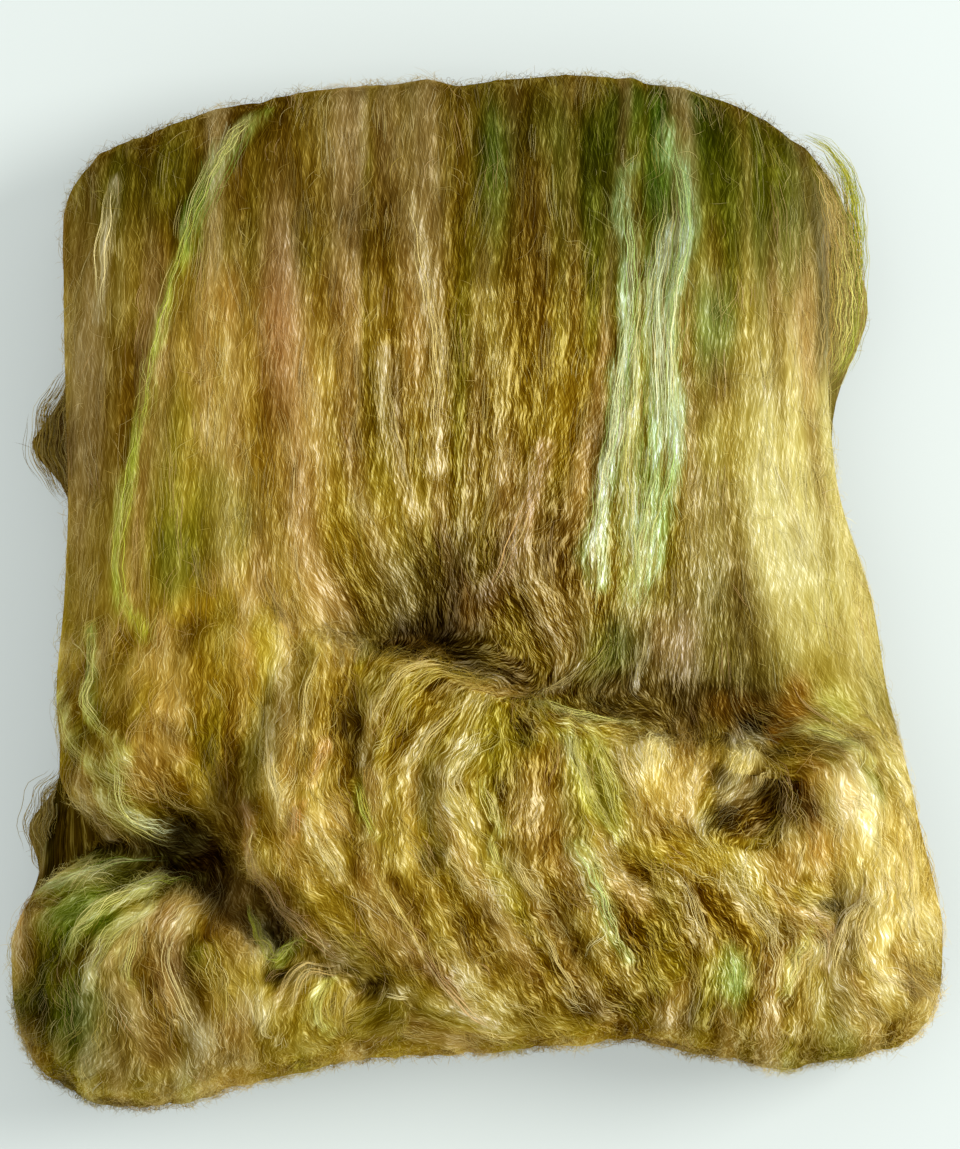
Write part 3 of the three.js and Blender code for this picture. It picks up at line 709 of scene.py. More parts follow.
class Web:
    """Outer and inner face of the web as grids of points: one row for a station, one column
    for a share of the width. Rows are also measured along the outer face, as if it lay flat."""

    def __init__(self):
        self.rows = stations()
        self.share = edge_crowded(COLUMNS)
        pairs = []
        for kind, what, step, a, b in self.rows:
            if kind == "flat":
                pairs.append(flat_points(what, step, self.share, a, b))
            else:
                pairs.append(turn_points(what, step, a, b, self.share))
        self.outer = np.array([outer for outer, _ in pairs])
        self.inner = np.array([inner for _, inner in pairs])
        self.first_top = next(i for i, row in enumerate(self.rows) if row[0] == "flat" and row[1] == "top")
        self.last_top = max(i for i, row in enumerate(self.rows) if row[0] == "flat" and row[1] == "top")
        self.plan = self.unrolled()
        self.raised = self.outer + grid_normals(self.outer) * self.relief()[..., None]
        off_table = np.maximum(self.raised[:, :, 2], LEAST_HEIGHT)
        self.raised[:, :, 2] = np.where(self.outer[:, :, 2] < TINY, 0, off_table)

    def relief(self):
        """Height of the small locks over the outer face, less where a face is pressed on another."""
        x, y = self.plan[..., 0], self.plan[..., 1]
        fade = np.minimum(1, np.minimum(self.share, 1 - self.share) / SIDE_FADE)
        rows = np.arange(len(self.rows))
        top = (rows >= self.first_top - NEAR_TURN_ROWS) & (rows <= self.last_top + FAR_TURN_ROWS)
        return ridges(Spots(x, y)) * RELIEF * fade * np.where(top, 1, HIDDEN_RELIEF)[:, None]

    def unrolled(self):
        """Flat place of every point of the outer face: x, and the length along the web."""
        hops = np.linalg.norm(np.diff(self.outer, axis=0), axis=2)
        y = self.outer[:, :, 1].copy()
        for row in range(self.first_top, self.last_top + 1):
            y[row] = along_at(self.outer[row, :, 0], self.rows[row][2])
        for row in range(self.last_top + 1, len(self.rows)):
            y[row] = y[row - 1] + hops[row - 1]
        for row in range(self.first_top - 1, -1, -1):
            y[row] = y[row + 1] - hops[row]
        return np.stack([self.outer[:, :, 0], y], -1)


def grid_normals(points):
    along, across = np.gradient(points, axis=0), np.gradient(points, axis=1)
    normal = np.cross(across, along)
    return normal / np.maximum(np.linalg.norm(normal, axis=2, keepdims=True), SMALLEST)


# The run of the fibres

def turn_at(x, y):
    """Angle of the fibres from straight towards the near edge, in radians."""
    total, weight = np.zeros(np.shape(x)), np.full(np.shape(x), STRAIGHT_PULL)
    for cx, cy, turn, reach in zip(*FLOW.values()):
        pull = felt(x, y, cx, cy, reach) / reach
        total += turn * pull * FLOW_PULL
        weight += pull * FLOW_PULL
    roll = 1 - smooth(y - section("crease", x), *STRAY_RAMP)
    stray = sum(noise(x / across, y / along, seed) * mix(on_panel, on_roll, roll)
                for across, along, seed, on_panel, on_roll in STRAY)
    return np.radians(np.clip(total / weight + stray, *STEEPEST))


def follow(x, y, length, steps, wander=0.0):
    """Flat places along the fibres from x, y: length is towards the near edge when positive."""
    xs, ys = [x], [y]
    for _ in range(steps):
        angle = turn_at(xs[-1], ys[-1]) + wander
        xs.append(xs[-1] + np.sin(angle) * length / steps)
        ys.append(ys[-1] - np.cos(angle) * length / steps)
    return np.stack(xs, -1), np.stack(ys, -1)


def traced_lane(x, y):
    """Where the fibre that passes x, y crosses the middle of the panel."""
    rise = (LANE_LINE - y) / LANE_STEPS
    for _ in range(LANE_STEPS):
        x = x - np.tan(np.clip(turn_at(x, y), -LANE_TURN, LANE_TURN)) * rise
        y = y + rise
    return x


class Spots:
    """Flat places on the web, with the run of the fibres over them."""

    def __init__(self, x, y):
        self.x, self.y = x, soaked(y)
        # Under layers at the left: their own brown, and painted shade beneath the layers above
        self.under = smooth(np.abs(y), FAR_FOLD, FAR_FOLD + UNDER_BROWN_AND_SHADE_RAMP) * smooth(-x, *UNDER_BROWN_AND_SHADE_LEFT)
        self.turn = turn_at(self.x, self.y)
        self.on_roll = 1 - smooth(self.y - section("crease", self.x), *ROLL_RAMP)
        self.lane = traced_lane(self.x, np.maximum(self.y, LANE_NEAREST))

    def streaks(self, across, along, seed):
        """Noise drawn out along the fibres: by lanes over the panel, by headings over the roll."""
        total, power = np.zeros(np.shape(self.x)), np.full(np.shape(self.x), TINY)
        for step, heading in enumerate(HEADINGS):
            share = np.clip(1 - np.abs(np.degrees(self.turn) - heading) / HEADING_STEP, 0, 1)
            angle = math.radians(heading)
            u = self.x * math.cos(angle) + self.y * math.sin(angle)
            v = self.y * math.cos(angle) - self.x * math.sin(angle)
            total += share * noise(u / across, v / along, seed + step)
            power += share ** 2
        lanes = noise(self.lane / across, self.y / along, seed)
        return mix(lanes, total / np.sqrt(power), self.on_roll)


# Colour

# Streaks of dye: size across, along and seed
BROAD_STREAKS = (16, 100, 101)
FINE_STREAKS = (4.6, 46, 111)
TAN_STREAKS = (6, 70, 131)

BROAD_SHARE = 0.5
OLIVE_CLOUDS = [(0.6, 17, 24, 14)]
GOLD_CLOUDS = [(1, 11, 20, 18)]

# Dyes carded into the brown: how each goes with the fine streaks, the levels where it starts and
# is full, and how much of it there is
GROUND_DYES = {
    "ochre": (0.7, -0.9, 0.7, 1),
    "olive": (0.5, -0.1, 0.9, 0.5),
    "gold": (-0.4, 0.1, 1.1, 0.5),
    "tan": (0, -0.1, 0.9, 0.7),
}

# Rims of patches and locks of dye
PATCH_RAGGED = 0.6
PATCH_RIM = (0.05, 1.1)
DYE_EDGE = 1.6
LAID_IN_GROUND = 0.15
PLAIN_PULL = 0.02

# Limits of the power that deepens a colour, and the painted light and shade that go with the relief and the
# folds: lighter and paler on raised locks, and darker towards umber as painted shade in the folds
TONE_AND_SHADE_POWERS = (0.5, 2.2)
RAISED_LIGHT = 0.55
RIDGE_HIGHLIGHT = (0.2, 1.1)
RIDGE_HIGHLIGHT_SHARE = 0.2
FOLD_SHADE_DEPTHS = (7, 34)
FOLD_SHADE_SHARE = 0.8

# Dark fibre of the under layers at the left: partly their own brown, partly painted shade beneath the layers
# above
UNDER_BROWN_AND_SHADE_RAMP = 12
UNDER_BROWN_AND_SHADE_LEFT = (60, 100)
UNDER_BROWN_AND_SHADE_SHARE = 0.7

# Casts: bluer on the panel than on the roll, mossy at the right, ripe round the crest, and tan by the pit,
# partly its dye and partly painted light on the slope down into it
BLUE_SHARES = (1.12, 0.86)
MOSSY_RAMP = (35, 70)
MOSSY_SHARE = 0.1
RIPE = (28, -6, 24, 26)
RIPE_SHARE = 0.35
PIT_RIM_TAN_AND_LIGHT = (-68, -92, math.sqrt(90))
PIT_RIM_TAN_AND_LIGHT_SHARE = 0.4

# Where single hairs stand out most
CRISP_LEAST = 0.44
CRISP_MORE = 0.98
CRISP_ROLL = 0.2
CRISP_RAMP = (15, 50)
CRISP_MIDDLE = (12, 4, 62, 78)
CRISP_CORNER = (60, -95, 60, 40)
CRISP_CORNER_SHARE = 0.75

# Light gained at the steep open edges of the web, away from the window
RIM_LIGHT = 0.7
RIM_STEEP = (0.1, 0.55)
RIM_OPEN = (5, 18)
RIM_WINDOW = (50, 95)


def blend(colour, dye, share):
    return colour + (DYES[dye] - colour) * np.clip(share, 0, 1)[..., None]


def toned_and_shaded(colour, lift):
    """Darker and stronger in colour where lift is below nothing, lighter and paler above it: random tone from
    lock to lock, and painted light and shade on the relief.
    """
    return colour ** np.clip(1 - lift, *TONE_AND_SHADE_POWERS)[..., None]


def soaked(y):
    """Folds the flat length back at both noses, as dye soaks through to the layers beneath."""
    return np.where(y > FAR_FOLD, 2 * FAR_FOLD - y, np.where(y < NEAR_FOLD, 2 * NEAR_FOLD - y, y))


def laid(x, y):
    """How much a laid lock stands up at a place, and sinks the web just beside it."""
    rise = np.zeros(np.shape(x))
    for width, _, strength, points in LOCKS:
        distance, _ = near_line(table("x y", points), x, y)
        off = distance / width
        groove = GROOVE_DEPTH * np.exp(-(((off - GROOVE_PLACE) / GROOVE_WIDTH) ** 2))
        rise += strength * (smooth(-off, -LOCK_EDGE, 0) - groove)
    return np.clip(rise, *LOCK_STAND) * (LOCK_PLAIN + ripples(x, y, LOCK_LUMPS))


def ridges(spots):
    """Small locks that stand up from the web, from -1 to 1, drawn out along the fibres."""
    on_roll = spots.on_roll
    long, short, wide = [
        spots.streaks(across, mix(panel_along, roll_along, on_roll), seed) * mix(on_panel, share, on_roll)
        for across, panel_along, roll_along, seed, on_panel, share in RIDGES]
    lumps = ripples(spots.x, spots.y, LUMPS) * mix(*LUMP_SHARES, on_roll)
    return (long + short) * RIDGE_SHARE + lumps + wide * WIDE_SHARE + laid(spots.x, spots.y) * LAID_SHARE


def tone_and_painted_light(x, y):
    """How light the fibre is over each part, from the dye and from painted light and shade."""
    total, weight = np.full(np.shape(x), PLAIN_PULL), np.full(np.shape(x), PLAIN_PULL)
    for cx, cy, reach, light in zip(*TONES_AND_PAINTED_LIGHT.values()):
        pull = felt(x, y, cx, cy, reach)
        total += light * pull
        weight += pull
    return total / weight


def ground_dyes(spots, streak):
    """Brown fibre with other dyes carded in along the streaks."""
    x, y = spots.x, spots.y
    levels = {
        "ochre": spots.streaks(*BROAD_STREAKS) * BROAD_SHARE,
        "olive": ripples(x, y, OLIVE_CLOUDS),
        "gold": ripples(x, y, GOLD_CLOUDS),
        "tan": spots.streaks(*TAN_STREAKS),
    }
    colour = np.broadcast_to(DYES["brown"], np.shape(x) + (3,)).copy()
    for dye, (streaked, start, full, share) in GROUND_DYES.items():
        colour = blend(colour, dye, smooth(levels[dye] + streak * streaked, start, full) * share)
    return colour


def dyed(spots):
    """Colours of the ground fibre at a flat place, and of the locks that are laid over it, with painted light
    and shade.
    """
    x, y = spots.x, spots.y
    streak = spots.streaks(*FINE_STREAKS)
    colour = ground_dyes(spots, streak)
    for cx, cy, across, along, dye, share in PATCHES:
        patch = oval(x, y, cx, cy, across, along) * (1 + PATCH_RAGGED * streak)
        colour = blend(colour, dye, smooth(patch, *PATCH_RIM) * share)
    laid_over = colour
    strayed = ripples(x, y, LOCK_STRAY, x)
    for width, dye, share, points in LOCKS:
        distance, _ = near_line(table("x y", points), strayed, y)
        laid_over = blend(laid_over, dye, smooth(-distance / width, -DYE_EDGE, 0) * share)
    raised = ridges(spots)
    deep = smooth(folded(x, y), *FOLD_SHADE_DEPTHS) * FOLD_SHADE_SHARE
    mossy = MOSSY_SHARE * smooth(x, *MOSSY_RAMP) * (1 - spots.on_roll)
    ripe = 1 - RIPE_SHARE * oval(x, y, *RIPE)
    cast = np.stack([1 - mossy, 1 + 0 * x, mix(*BLUE_SHARES, spots.on_roll) * ripe], -1)
    light = (tone_and_painted_light(x, y) * FIBRE_LIGHT)[..., None]

    def with_painted_light_and_tone(colour):
        # Painted highlight on raised locks, painted shade in the folds and on the under layers at the left,
        # painted light by the corner pit, then the lightness of each part
        colour = blend(colour, "straw", smooth(raised, *RIDGE_HIGHLIGHT) * RIDGE_HIGHLIGHT_SHARE)
        colour = blend(blend(colour, "umber", deep), "umber", spots.under * UNDER_BROWN_AND_SHADE_SHARE)
        colour = blend(colour, "tan", PIT_RIM_TAN_AND_LIGHT_SHARE * felt(x, y, *PIT_RIM_TAN_AND_LIGHT))
        return toned_and_shaded(colour, raised * RAISED_LIGHT) * light * cast

    return with_painted_light_and_tone(mix(colour, laid_over, LAID_IN_GROUND)), with_painted_light_and_tone(laid_over)


def crispness(x, y):
    """How clearly the single hairs stand out: most over the middle, less where they are felted down."""
    clear = np.maximum(oval(x, y, *CRISP_MIDDLE), oval(x, y, *CRISP_CORNER) * CRISP_CORNER_SHARE)
    near_roll = CRISP_ROLL * smooth(-y, *CRISP_RAMP)
    return CRISP_LEAST + near_roll + (CRISP_MORE - near_roll) * clear


# Meshes

# Rounds of the search for a place of the web, and how far a round may go, in rows or columns
FIND_ROUNDS = 8
LAST_CELL = 1.001
FIND_STRIDE = 9
RAIL_ROUNDS = 4

# Hairs: how quickly they taper and how thick they are upwards, in millimetres how deep their ends
# go in and how low they may hang
TAPER = 0.55
HAIR_ROUNDNESS = 1.2
ROOT_DEPTH = 0.3
LOWEST_HAIR = 0.3

# Hairs of a lock: how far they are out of step, and how much they wave together and alone
PHASE_SPREAD = 0.08
OWN_WAVE = 0.57
COMMON_SHARE = 0.75
OWN_SHARE = 0.6
PINCH = 0.45


def mesh_piece(name, points, triangles, colours, material):
    """A piece from arrays: points in millimetres, and one colour for each."""
    mesh = bpy.data.meshes.new(name)
    mesh.vertices.add(len(points))
    mesh.vertices.foreach_set("co", (points * MM).astype(np.float32).ravel())
    mesh.loops.add(triangles.size)
    mesh.loops.foreach_set("vertex_index", triangles.astype(np.int32).ravel())
    mesh.polygons.add(len(triangles))
    mesh.polygons.foreach_set("loop_start", np.arange(0, triangles.size, 3, dtype=np.int32))
    mesh.update(calc_edges=True)
    mesh.shade_smooth()
    paint(mesh, colours)
    return show(bpy.data.objects.new(name, mesh), material)


def paint(mesh, colours, name="dye"):
    dye = mesh.color_attributes.new(name, "FLOAT_COLOR", "POINT")
    levels = np.concatenate([colours, np.ones((len(colours), 1))], 1)
    dye.data.foreach_set("color", levels.astype(np.float32).ravel())


def show(piece, material):
    bpy.context.collection.objects.link(piece)
    piece.data.materials.append(material)
    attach(piece, "root")
    return piece


def fit_box(points, box):
    """How far to move points so that they stand in the middle of the solid's box."""
    low, high = np.array(box[0]) / MM, np.array(box[1]) / MM
    return np.array([*((low + high) / 2 - (points.min(0) + points.max(0)) / 2)[:2], 0])


def slab(columns, rows):
    """A closed slab on unit coordinates: a grid, its copy one unit up, and their rims bridged."""
    bm = bmesh.new()
    bmesh.ops.create_grid(bm, x_segments=columns - 1, y_segments=rows - 1, size=0.5)
    lower = bm.faces[:]
    copy = bmesh.ops.duplicate(bm, geom=bm.verts[:] + bm.edges[:] + lower)["geom"]
    points = [item for item in copy if isinstance(item, bmesh.types.BMVert)]
    bmesh.ops.translate(bm, vec=(0, 0, 1), verts=points)
    bmesh.ops.reverse_faces(bm, faces=lower)
    bmesh.ops.bridge_loops(bm, edges=[edge for edge in bm.edges if edge.is_boundary])
    return bm


def vectors(collection, key):
    """Three numbers for each item of a mesh's collection."""
    values = np.empty(len(collection) * 3, dtype=np.float32)
    collection.foreach_get(key, values)
    return values.reshape(-1, 3)


def build_web(web, shift, material):
    """The whole web as one closed mesh, with its flat place kept for the streaks of its dye."""
    rows, columns = web.outer.shape[:2]
    bm = slab(columns, rows)
    mesh = bpy.data.meshes.new("batt_web")
    bm.to_mesh(mesh)
    bm.free()
    unit = vectors(mesh.vertices, "co")
    column = np.rint((unit[:, 0] + 0.5) * (columns - 1)).astype(int)
    row = np.rint((unit[:, 1] + 0.5) * (rows - 1)).astype(int)
    is_outer = unit[:, 2] > 0.5
    flat = web.plan[row, column]
    spots = Spots(flat[:, 0], flat[:, 1])
    points = np.where(is_outer[:, None], web.raised[row, column], web.inner[row, column]) + shift
    mesh.vertices.foreach_set("co", (points * MM).astype(np.float32).ravel())
    mesh.update()
    mesh.shade_smooth()
    ground, laid_over = dyed(spots)
    level = UNDER_SHADE * rim_light(mesh, flat)
    paint(mesh, ground * level, "ground")
    paint(mesh, laid_over * level, "laid")
    add_flat_map(mesh, flat)
    add_run(mesh, spots)
    return show(bpy.data.objects.new("batt_web", mesh), material)


def rim_light(mesh, flat):
    """How much lighter the fibre is at a steep open edge, where light passes through its thin fringe."""
    steep = 1 - smooth(np.abs(vectors(mesh.vertex_normals, "vector")[:, 2]), *RIM_STEEP)
    away_from_window = 1 - smooth(flat[:, 0], *RIM_WINDOW)
    open_share = in_the_open(flat[:, 0], flat[:, 1], *RIM_OPEN)
    return (1 + RIM_LIGHT * steep * open_share * away_from_window)[:, None]


def add_flat_map(mesh, flat):
    """UV map in centimetres of the web as it would lie flat."""
    corners = np.empty(len(mesh.loops), dtype=np.int32)
    mesh.loops.foreach_get("vertex_index", corners)
    layer = mesh.uv_layers.new(name="flat")
    layer.data.foreach_set("uv", (flat[corners] / CM).astype(np.float32).ravel())


def add_run(mesh, spots):
    """Heading of the fibres, in steps between the headings of the streaks, and how they curl."""
    runs = {
        "turn": np.degrees(spots.turn) / HEADING_STEP,
        "curl": mix(*CURLS, spots.on_roll),
        "crisp": crispness(spots.x, spots.y),
    }
    for name, values in runs.items():
        layer = mesh.attributes.new(name, "FLOAT", "POINT")
        layer.data.foreach_set("value", values.astype(np.float32))


class Skin:
    """Looks up points and normals of a face of the web from flat places."""

    def __init__(self, web, face, shift, outward=1):
        self.web = web
        self.points = face + shift
        self.normals = grid_normals(face) * outward
        self.plan = web.plan
        along, across = np.gradient(self.plan, axis=0), np.gradient(self.plan, axis=1)
        self.jacobian = np.stack([across, along], -1)
        cells = np.cross(np.diff(self.points, axis=0)[:, :-1], np.diff(self.points, axis=1)[:-1])
        self.area = np.linalg.norm(cells, axis=2)

    def sample(self, grid, row, column):
        rows, columns = grid.shape[:2]
        row, column = np.clip(row, 0, rows - LAST_CELL), np.clip(column, 0, columns - LAST_CELL)
        i, j = row.astype(int), column.astype(int)
        fi = (row - i).reshape(row.shape + (1,) * (grid.ndim - 2))
        fj = (column - j).reshape(row.shape + (1,) * (grid.ndim - 2))
        near = grid[i, j] * (1 - fj) + grid[i, j + 1] * fj
        far = grid[i + 1, j] * (1 - fj) + grid[i + 1, j + 1] * fj
        return near * (1 - fi) + far * fi

    def find(self, x, y):
        """Row and column of flat places, by Newton's method."""
        rows, columns = self.plan.shape[:2]
        row = np.interp(y, self.plan[:, columns // 2, 1], np.arange(rows)).astype(float)
        middle = (self.web.first_top + self.web.last_top) // 2
        left, right = self.plan[middle, 0, 0], self.plan[middle, -1, 0]
        column = np.clip((x - left) / (right - left), 0, 1) * (columns - 1)
        for _ in range(FIND_ROUNDS):
            miss_x, miss_y = np.moveaxis(np.stack([x, y], -1) - self.sample(self.plan, row, column), -1, 0)
            j = self.sample(self.jacobian, row, column)
            scale = 1 / (j[..., 0, 0] * j[..., 1, 1] - j[..., 0, 1] * j[..., 1, 0])
            step_column = (miss_x * j[..., 1, 1] - miss_y * j[..., 0, 1]) * scale
            step_row = (miss_y * j[..., 0, 0] - miss_x * j[..., 1, 0]) * scale
            column = np.clip(column + np.clip(step_column, -FIND_STRIDE, FIND_STRIDE), 0, columns - 1)
            row = np.clip(row + np.clip(step_row, -FIND_STRIDE, FIND_STRIDE), 0, rows - 1)
        return row, column

    def at(self, x, y):
        row, column = self.find(x, y)
        normal = self.sample(self.normals, row, column)
        normal /= np.linalg.norm(normal, axis=-1, keepdims=True)
        return self.sample(self.points, row, column), normal

    def scatter(self, random, count, wanted):
        """Random flat places, evenly over the face where wanted is one for a cell of the grid."""
        weight = self.area * wanted[:-1, :-1]
        cell = random.choice(weight.size, count, p=(weight / weight.sum()).ravel())
        row, column = np.divmod(cell, weight.shape[1])
        place = self.sample(self.plan, row + random.random(count), column + random.random(count))
        return place[:, 0], place[:, 1]


class Rail:
    """A free line in the air that hairs are gathered round, as a skin is: x across it, y along it."""

    def __init__(self, points):
        points = np.array(points, dtype=float)
        for _ in range(RAIL_ROUNDS):
            middle = (points[:-1] + points[1:]) / 2
            between = np.concatenate([(middle[:-1] + middle[1:]) / 2, points[-1:]])
            points = np.concatenate([points[:1], np.stack([middle, between], 1).reshape(-1, 3)])
        self.points = points
        hops = np.linalg.norm(np.diff(points, axis=0), axis=1)
        self.length = np.concatenate([[0], np.cumsum(hops)])

    def at(self, x, y):
        read_off = lambda values: np.stack([np.interp(y, self.length, values[:, i]) for i in range(3)], -1)
        tangent = read_off(np.gradient(self.points, axis=0))
        side = np.cross(tangent, (0, 0, 1))
        side /= np.linalg.norm(side, axis=-1, keepdims=True)
        normal = np.cross(side, tangent)
        normal /= np.linalg.norm(normal, axis=-1, keepdims=True)
        return read_off(self.points) + side * x[..., None], normal


def tubes(paths, normals, widths, colours):
    """Closed three-sided hairs along paths, thickest in the middle and pointed at both ends."""
    strands, knots = paths.shape[:2]
    tangents = np.gradient(paths, axis=1)
    sides = np.cross(tangents, normals)
    sides /= np.maximum(np.linalg.norm(sides, axis=2, keepdims=True), SMALLEST)
    taper = np.sin(np.linspace(0, math.pi, knots)) ** TAPER
    half = widths[:, None, None] * taper[None, :, None] / 2
    rim = np.stack([paths - sides * half, paths + sides * half, paths + normals * half * HAIR_ROUNDNESS], 2)
    inner = rim[:, 1:-1].reshape(strands, -1, 3)
    points = np.concatenate([paths[:, :1], inner, paths[:, -1:]], 1)
    each = points.shape[1]
    faces = []
    for k in range(knots - 3):
        for a in range(3):
            b = (a + 1) % 3
            low, high = 1 + 3 * k, 4 + 3 * k
            faces += [(low + a, low + b, high + b), (low + a, high + b, high + a)]
    for a in range(3):
        b = (a + 1) % 3
        faces += [(0, 1 + b, 1 + a), (each - 1, each - 4 + a, each - 4 + b)]
    faces = np.array(faces)
    all_faces = (faces[None] + (np.arange(strands) * each)[:, None, None]).reshape(-1, 3)
    return points.reshape(-1, 3), all_faces, np.repeat(colours, each, axis=0)


def along_lines(values, owner, place):
    """Reads each hair's places off the line it belongs to."""
    i = np.minimum(place.astype(int), values.shape[1] - 2)
    line = owner[:, None]
    return mix(values[line, i], values[line, i + 1], place - i)


def bundles(random, xs, ys, owner, look):
    """Flat hairs gathered round lines, waving together as the hairs of one lock do."""
    lines, stops = xs.shape
    count = len(owner)
    share = random.uniform(*look["share"], count)
    start = random.random(count) * (1 - share)
    along = start[:, None] + share[:, None] * np.linspace(0, 1, look["knots"])
    dx, dy = np.gradient(xs, axis=1), np.gradient(ys, axis=1)
    size = np.maximum(np.hypot(dx, dy), SMALLEST)
    length = size.sum(1)[owner][:, None]
    wave = random.uniform(*look["wave"], lines)[owner][:, None]
    phase = random.random(lines)[owner][:, None] + random.normal(0, PHASE_SPREAD, count)[:, None]
    swing = random.uniform(*look["swing"], lines)[owner][:, None]
    arc = along * length
    common = np.sin(2 * math.pi * (arc / wave + phase))
    own = np.sin(2 * math.pi * (arc / wave * OWN_WAVE + random.random((count, 1))))
    pinch = PINCH + (1 - PINCH) * np.sin(math.pi * np.clip(along, 0, 1))
    spread = look["spread"] if np.isscalar(look["spread"]) else look["spread"][owner]
    across = random.normal(0, 1, count) * spread
    lateral = across[:, None] * pinch + swing * (common * COMMON_SHARE + own * OWN_SHARE)
    place = along * (stops - 1)
    x = along_lines(xs, owner, place) + along_lines(-dy / size, owner, place) * lateral
    y = along_lines(ys, owner, place) + along_lines(dx / size, owner, place) * lateral
    return x, y


def lay(surface, random, x, y, look):
    """Hairs put on a surface: each rises a little in its middle and goes in at its ends."""
    points, normals = surface.at(x, y)
    count, knots = x.shape
    rise = random.uniform(*look["lift"], (count, 1))
    arch = np.sin(np.linspace(0, math.pi, knots))[None] * (rise + ROOT_DEPTH) - ROOT_DEPTH
    points = points + normals * (arch + look.get("float", 0))[..., None]
    points[..., 2] = np.maximum(points[..., 2], LOWEST_HAIR)
    return points, normals


def flow_lines(skin, random, count, wanted, look):
    """Lines along the flow of the fibres, through random places of the skin."""
    x, y = skin.scatter(random, count, wanted)
    length = random.uniform(*look["length"], count)
    wander = random.normal(0, look["stray"], count)
    back = follow(x, y, -length / 2, FLOW_STEPS, wander)
    ahead = follow(x, y, length / 2, FLOW_STEPS, wander)
    return [np.concatenate([behind[:, ::-1], before[:, 1:]], 1) for behind, before in zip(back, ahead)]


def hair_colours(random, x, y, owner, look):
    """Colours of the web beneath, with its painted light and shade, deeper or paler from lock to lock, with a
    few locks of other dyes.
    """
    middle = x.shape[1] // 2
    mid_x, mid_y = x[:, middle], y[:, middle]
    count, clumps_in_all = len(owner), owner.max() + 1
    ground, laid_over = dyed(Spots(mid_x + random.normal(0, DYE_JITTER, count), mid_y))
    colour = mix(ground, laid_over, random.random((count, 1)))
    colour = toned_and_shaded(colour, random.normal(HAIR_LIFT, look["depth"], clumps_in_all)[owner])
    colour = toned_and_shaded(colour, random.normal(0, look["depth"] * SINGLE_DEPTH, count))
    # No pale or accent dye in the folds, so that the painted shade there stays dark
    open_share = in_the_open(mid_x, mid_y, *HAIR_OPEN)
    picked = random.integers(0, ACCENT_ODDS, clumps_in_all)[owner]
    for number, accent in enumerate(ACCENTS):
        share = (picked == number) * random.uniform(*ACCENT_SHARE, count) * open_share
        colour = blend(colour, accent, share)
    pale = random.random(clumps_in_all)[owner] ** 3 * look["pale"]
    return np.clip(blend(colour, "cream", pale * open_share), 0, 1)


def clumps(name, skin, random, count, wanted, look, material):
    """Hairs in small locks all over the skin."""
    per = look["per"]
    xs, ys = flow_lines(skin, random, count // per, wanted, look)
    owner = np.repeat(np.arange(len(xs)), per)
    x, y = bundles(random, xs, ys, owner, look)
    points, normals = lay(skin, random, x, y, look)
    colours = hair_colours(random, x, y, owner, look)
    widths = random.uniform(*look["width"], len(owner))
    whole = np.linalg.norm(np.diff(points, axis=1), axis=2).max(1) < LONGEST_HOP
    return mesh_piece(name, *tubes(points[whole], normals[whole], widths[whole], colours[whole]), material)


# Materials

# Web material: scales count to the centimetre across and along the fibres
CURLS = (0.16, 0.34)
WAVE_SCALE = 1.3
CRIMP_SCALE = 2.4
CRIMP_SHARE = 0.4
CRIMP_SHIFT = 20
LOCK_SCALE = (3.4, 0.26, 1)
LOCK_NOISE = (6.0, 0.74)
HAIR_SCALE = (9, 0.6, 1)
HAIR_ASLANT = 8
FINER_SCALE = (17, 1.1, 1)
FINER_ASLANT = -12
HAIR_SHARPNESS = 9

# How high the hairs stand in it, which dye they take, and the painted shade in the low places and painted
# highlight (gleam) on the high ones
HAIR_HEIGHT = 0.62
FINER_HEIGHT = 0.58
HEIGHT_DROP = 0.4
LOCK_CONTRAST = 4.5
HAIR_PICK = 0.4
PICK_BASE = 0.4
LIGHT_AND_SHADE_POWER = 1.12
LIGHT_AND_SHADE_POWERS = (0.6, 2.4)
GLEAM_FROM = 0.1
GLEAM_MOST = 0.9
GLEAM_COLOUR = (0.62, 0.68, 1.5)
BUMP_DEPTH = 0.0007


class Sum:
    """A number in a material: a socket or a plain number, put together with + - and *."""

    def __init__(self, nodes, value):
        self.nodes, self.value = nodes, value

    def _join(self, operation, a, b):
        return self.nodes.add("ShaderNodeMath", {"operation": operation}, {0: a, 1: b})

    def __add__(self, other):
        return self._join("ADD", self, other)

    def __radd__(self, other):
        return self._join("ADD", other, self)

    def __sub__(self, other):
        return self._join("SUBTRACT", self, other)

    def __rsub__(self, other):
        return self._join("SUBTRACT", other, self)

    def __mul__(self, other):
        return self._join("MULTIPLY", self, other)

    def __rmul__(self, other):
        return self._join("MULTIPLY", other, self)


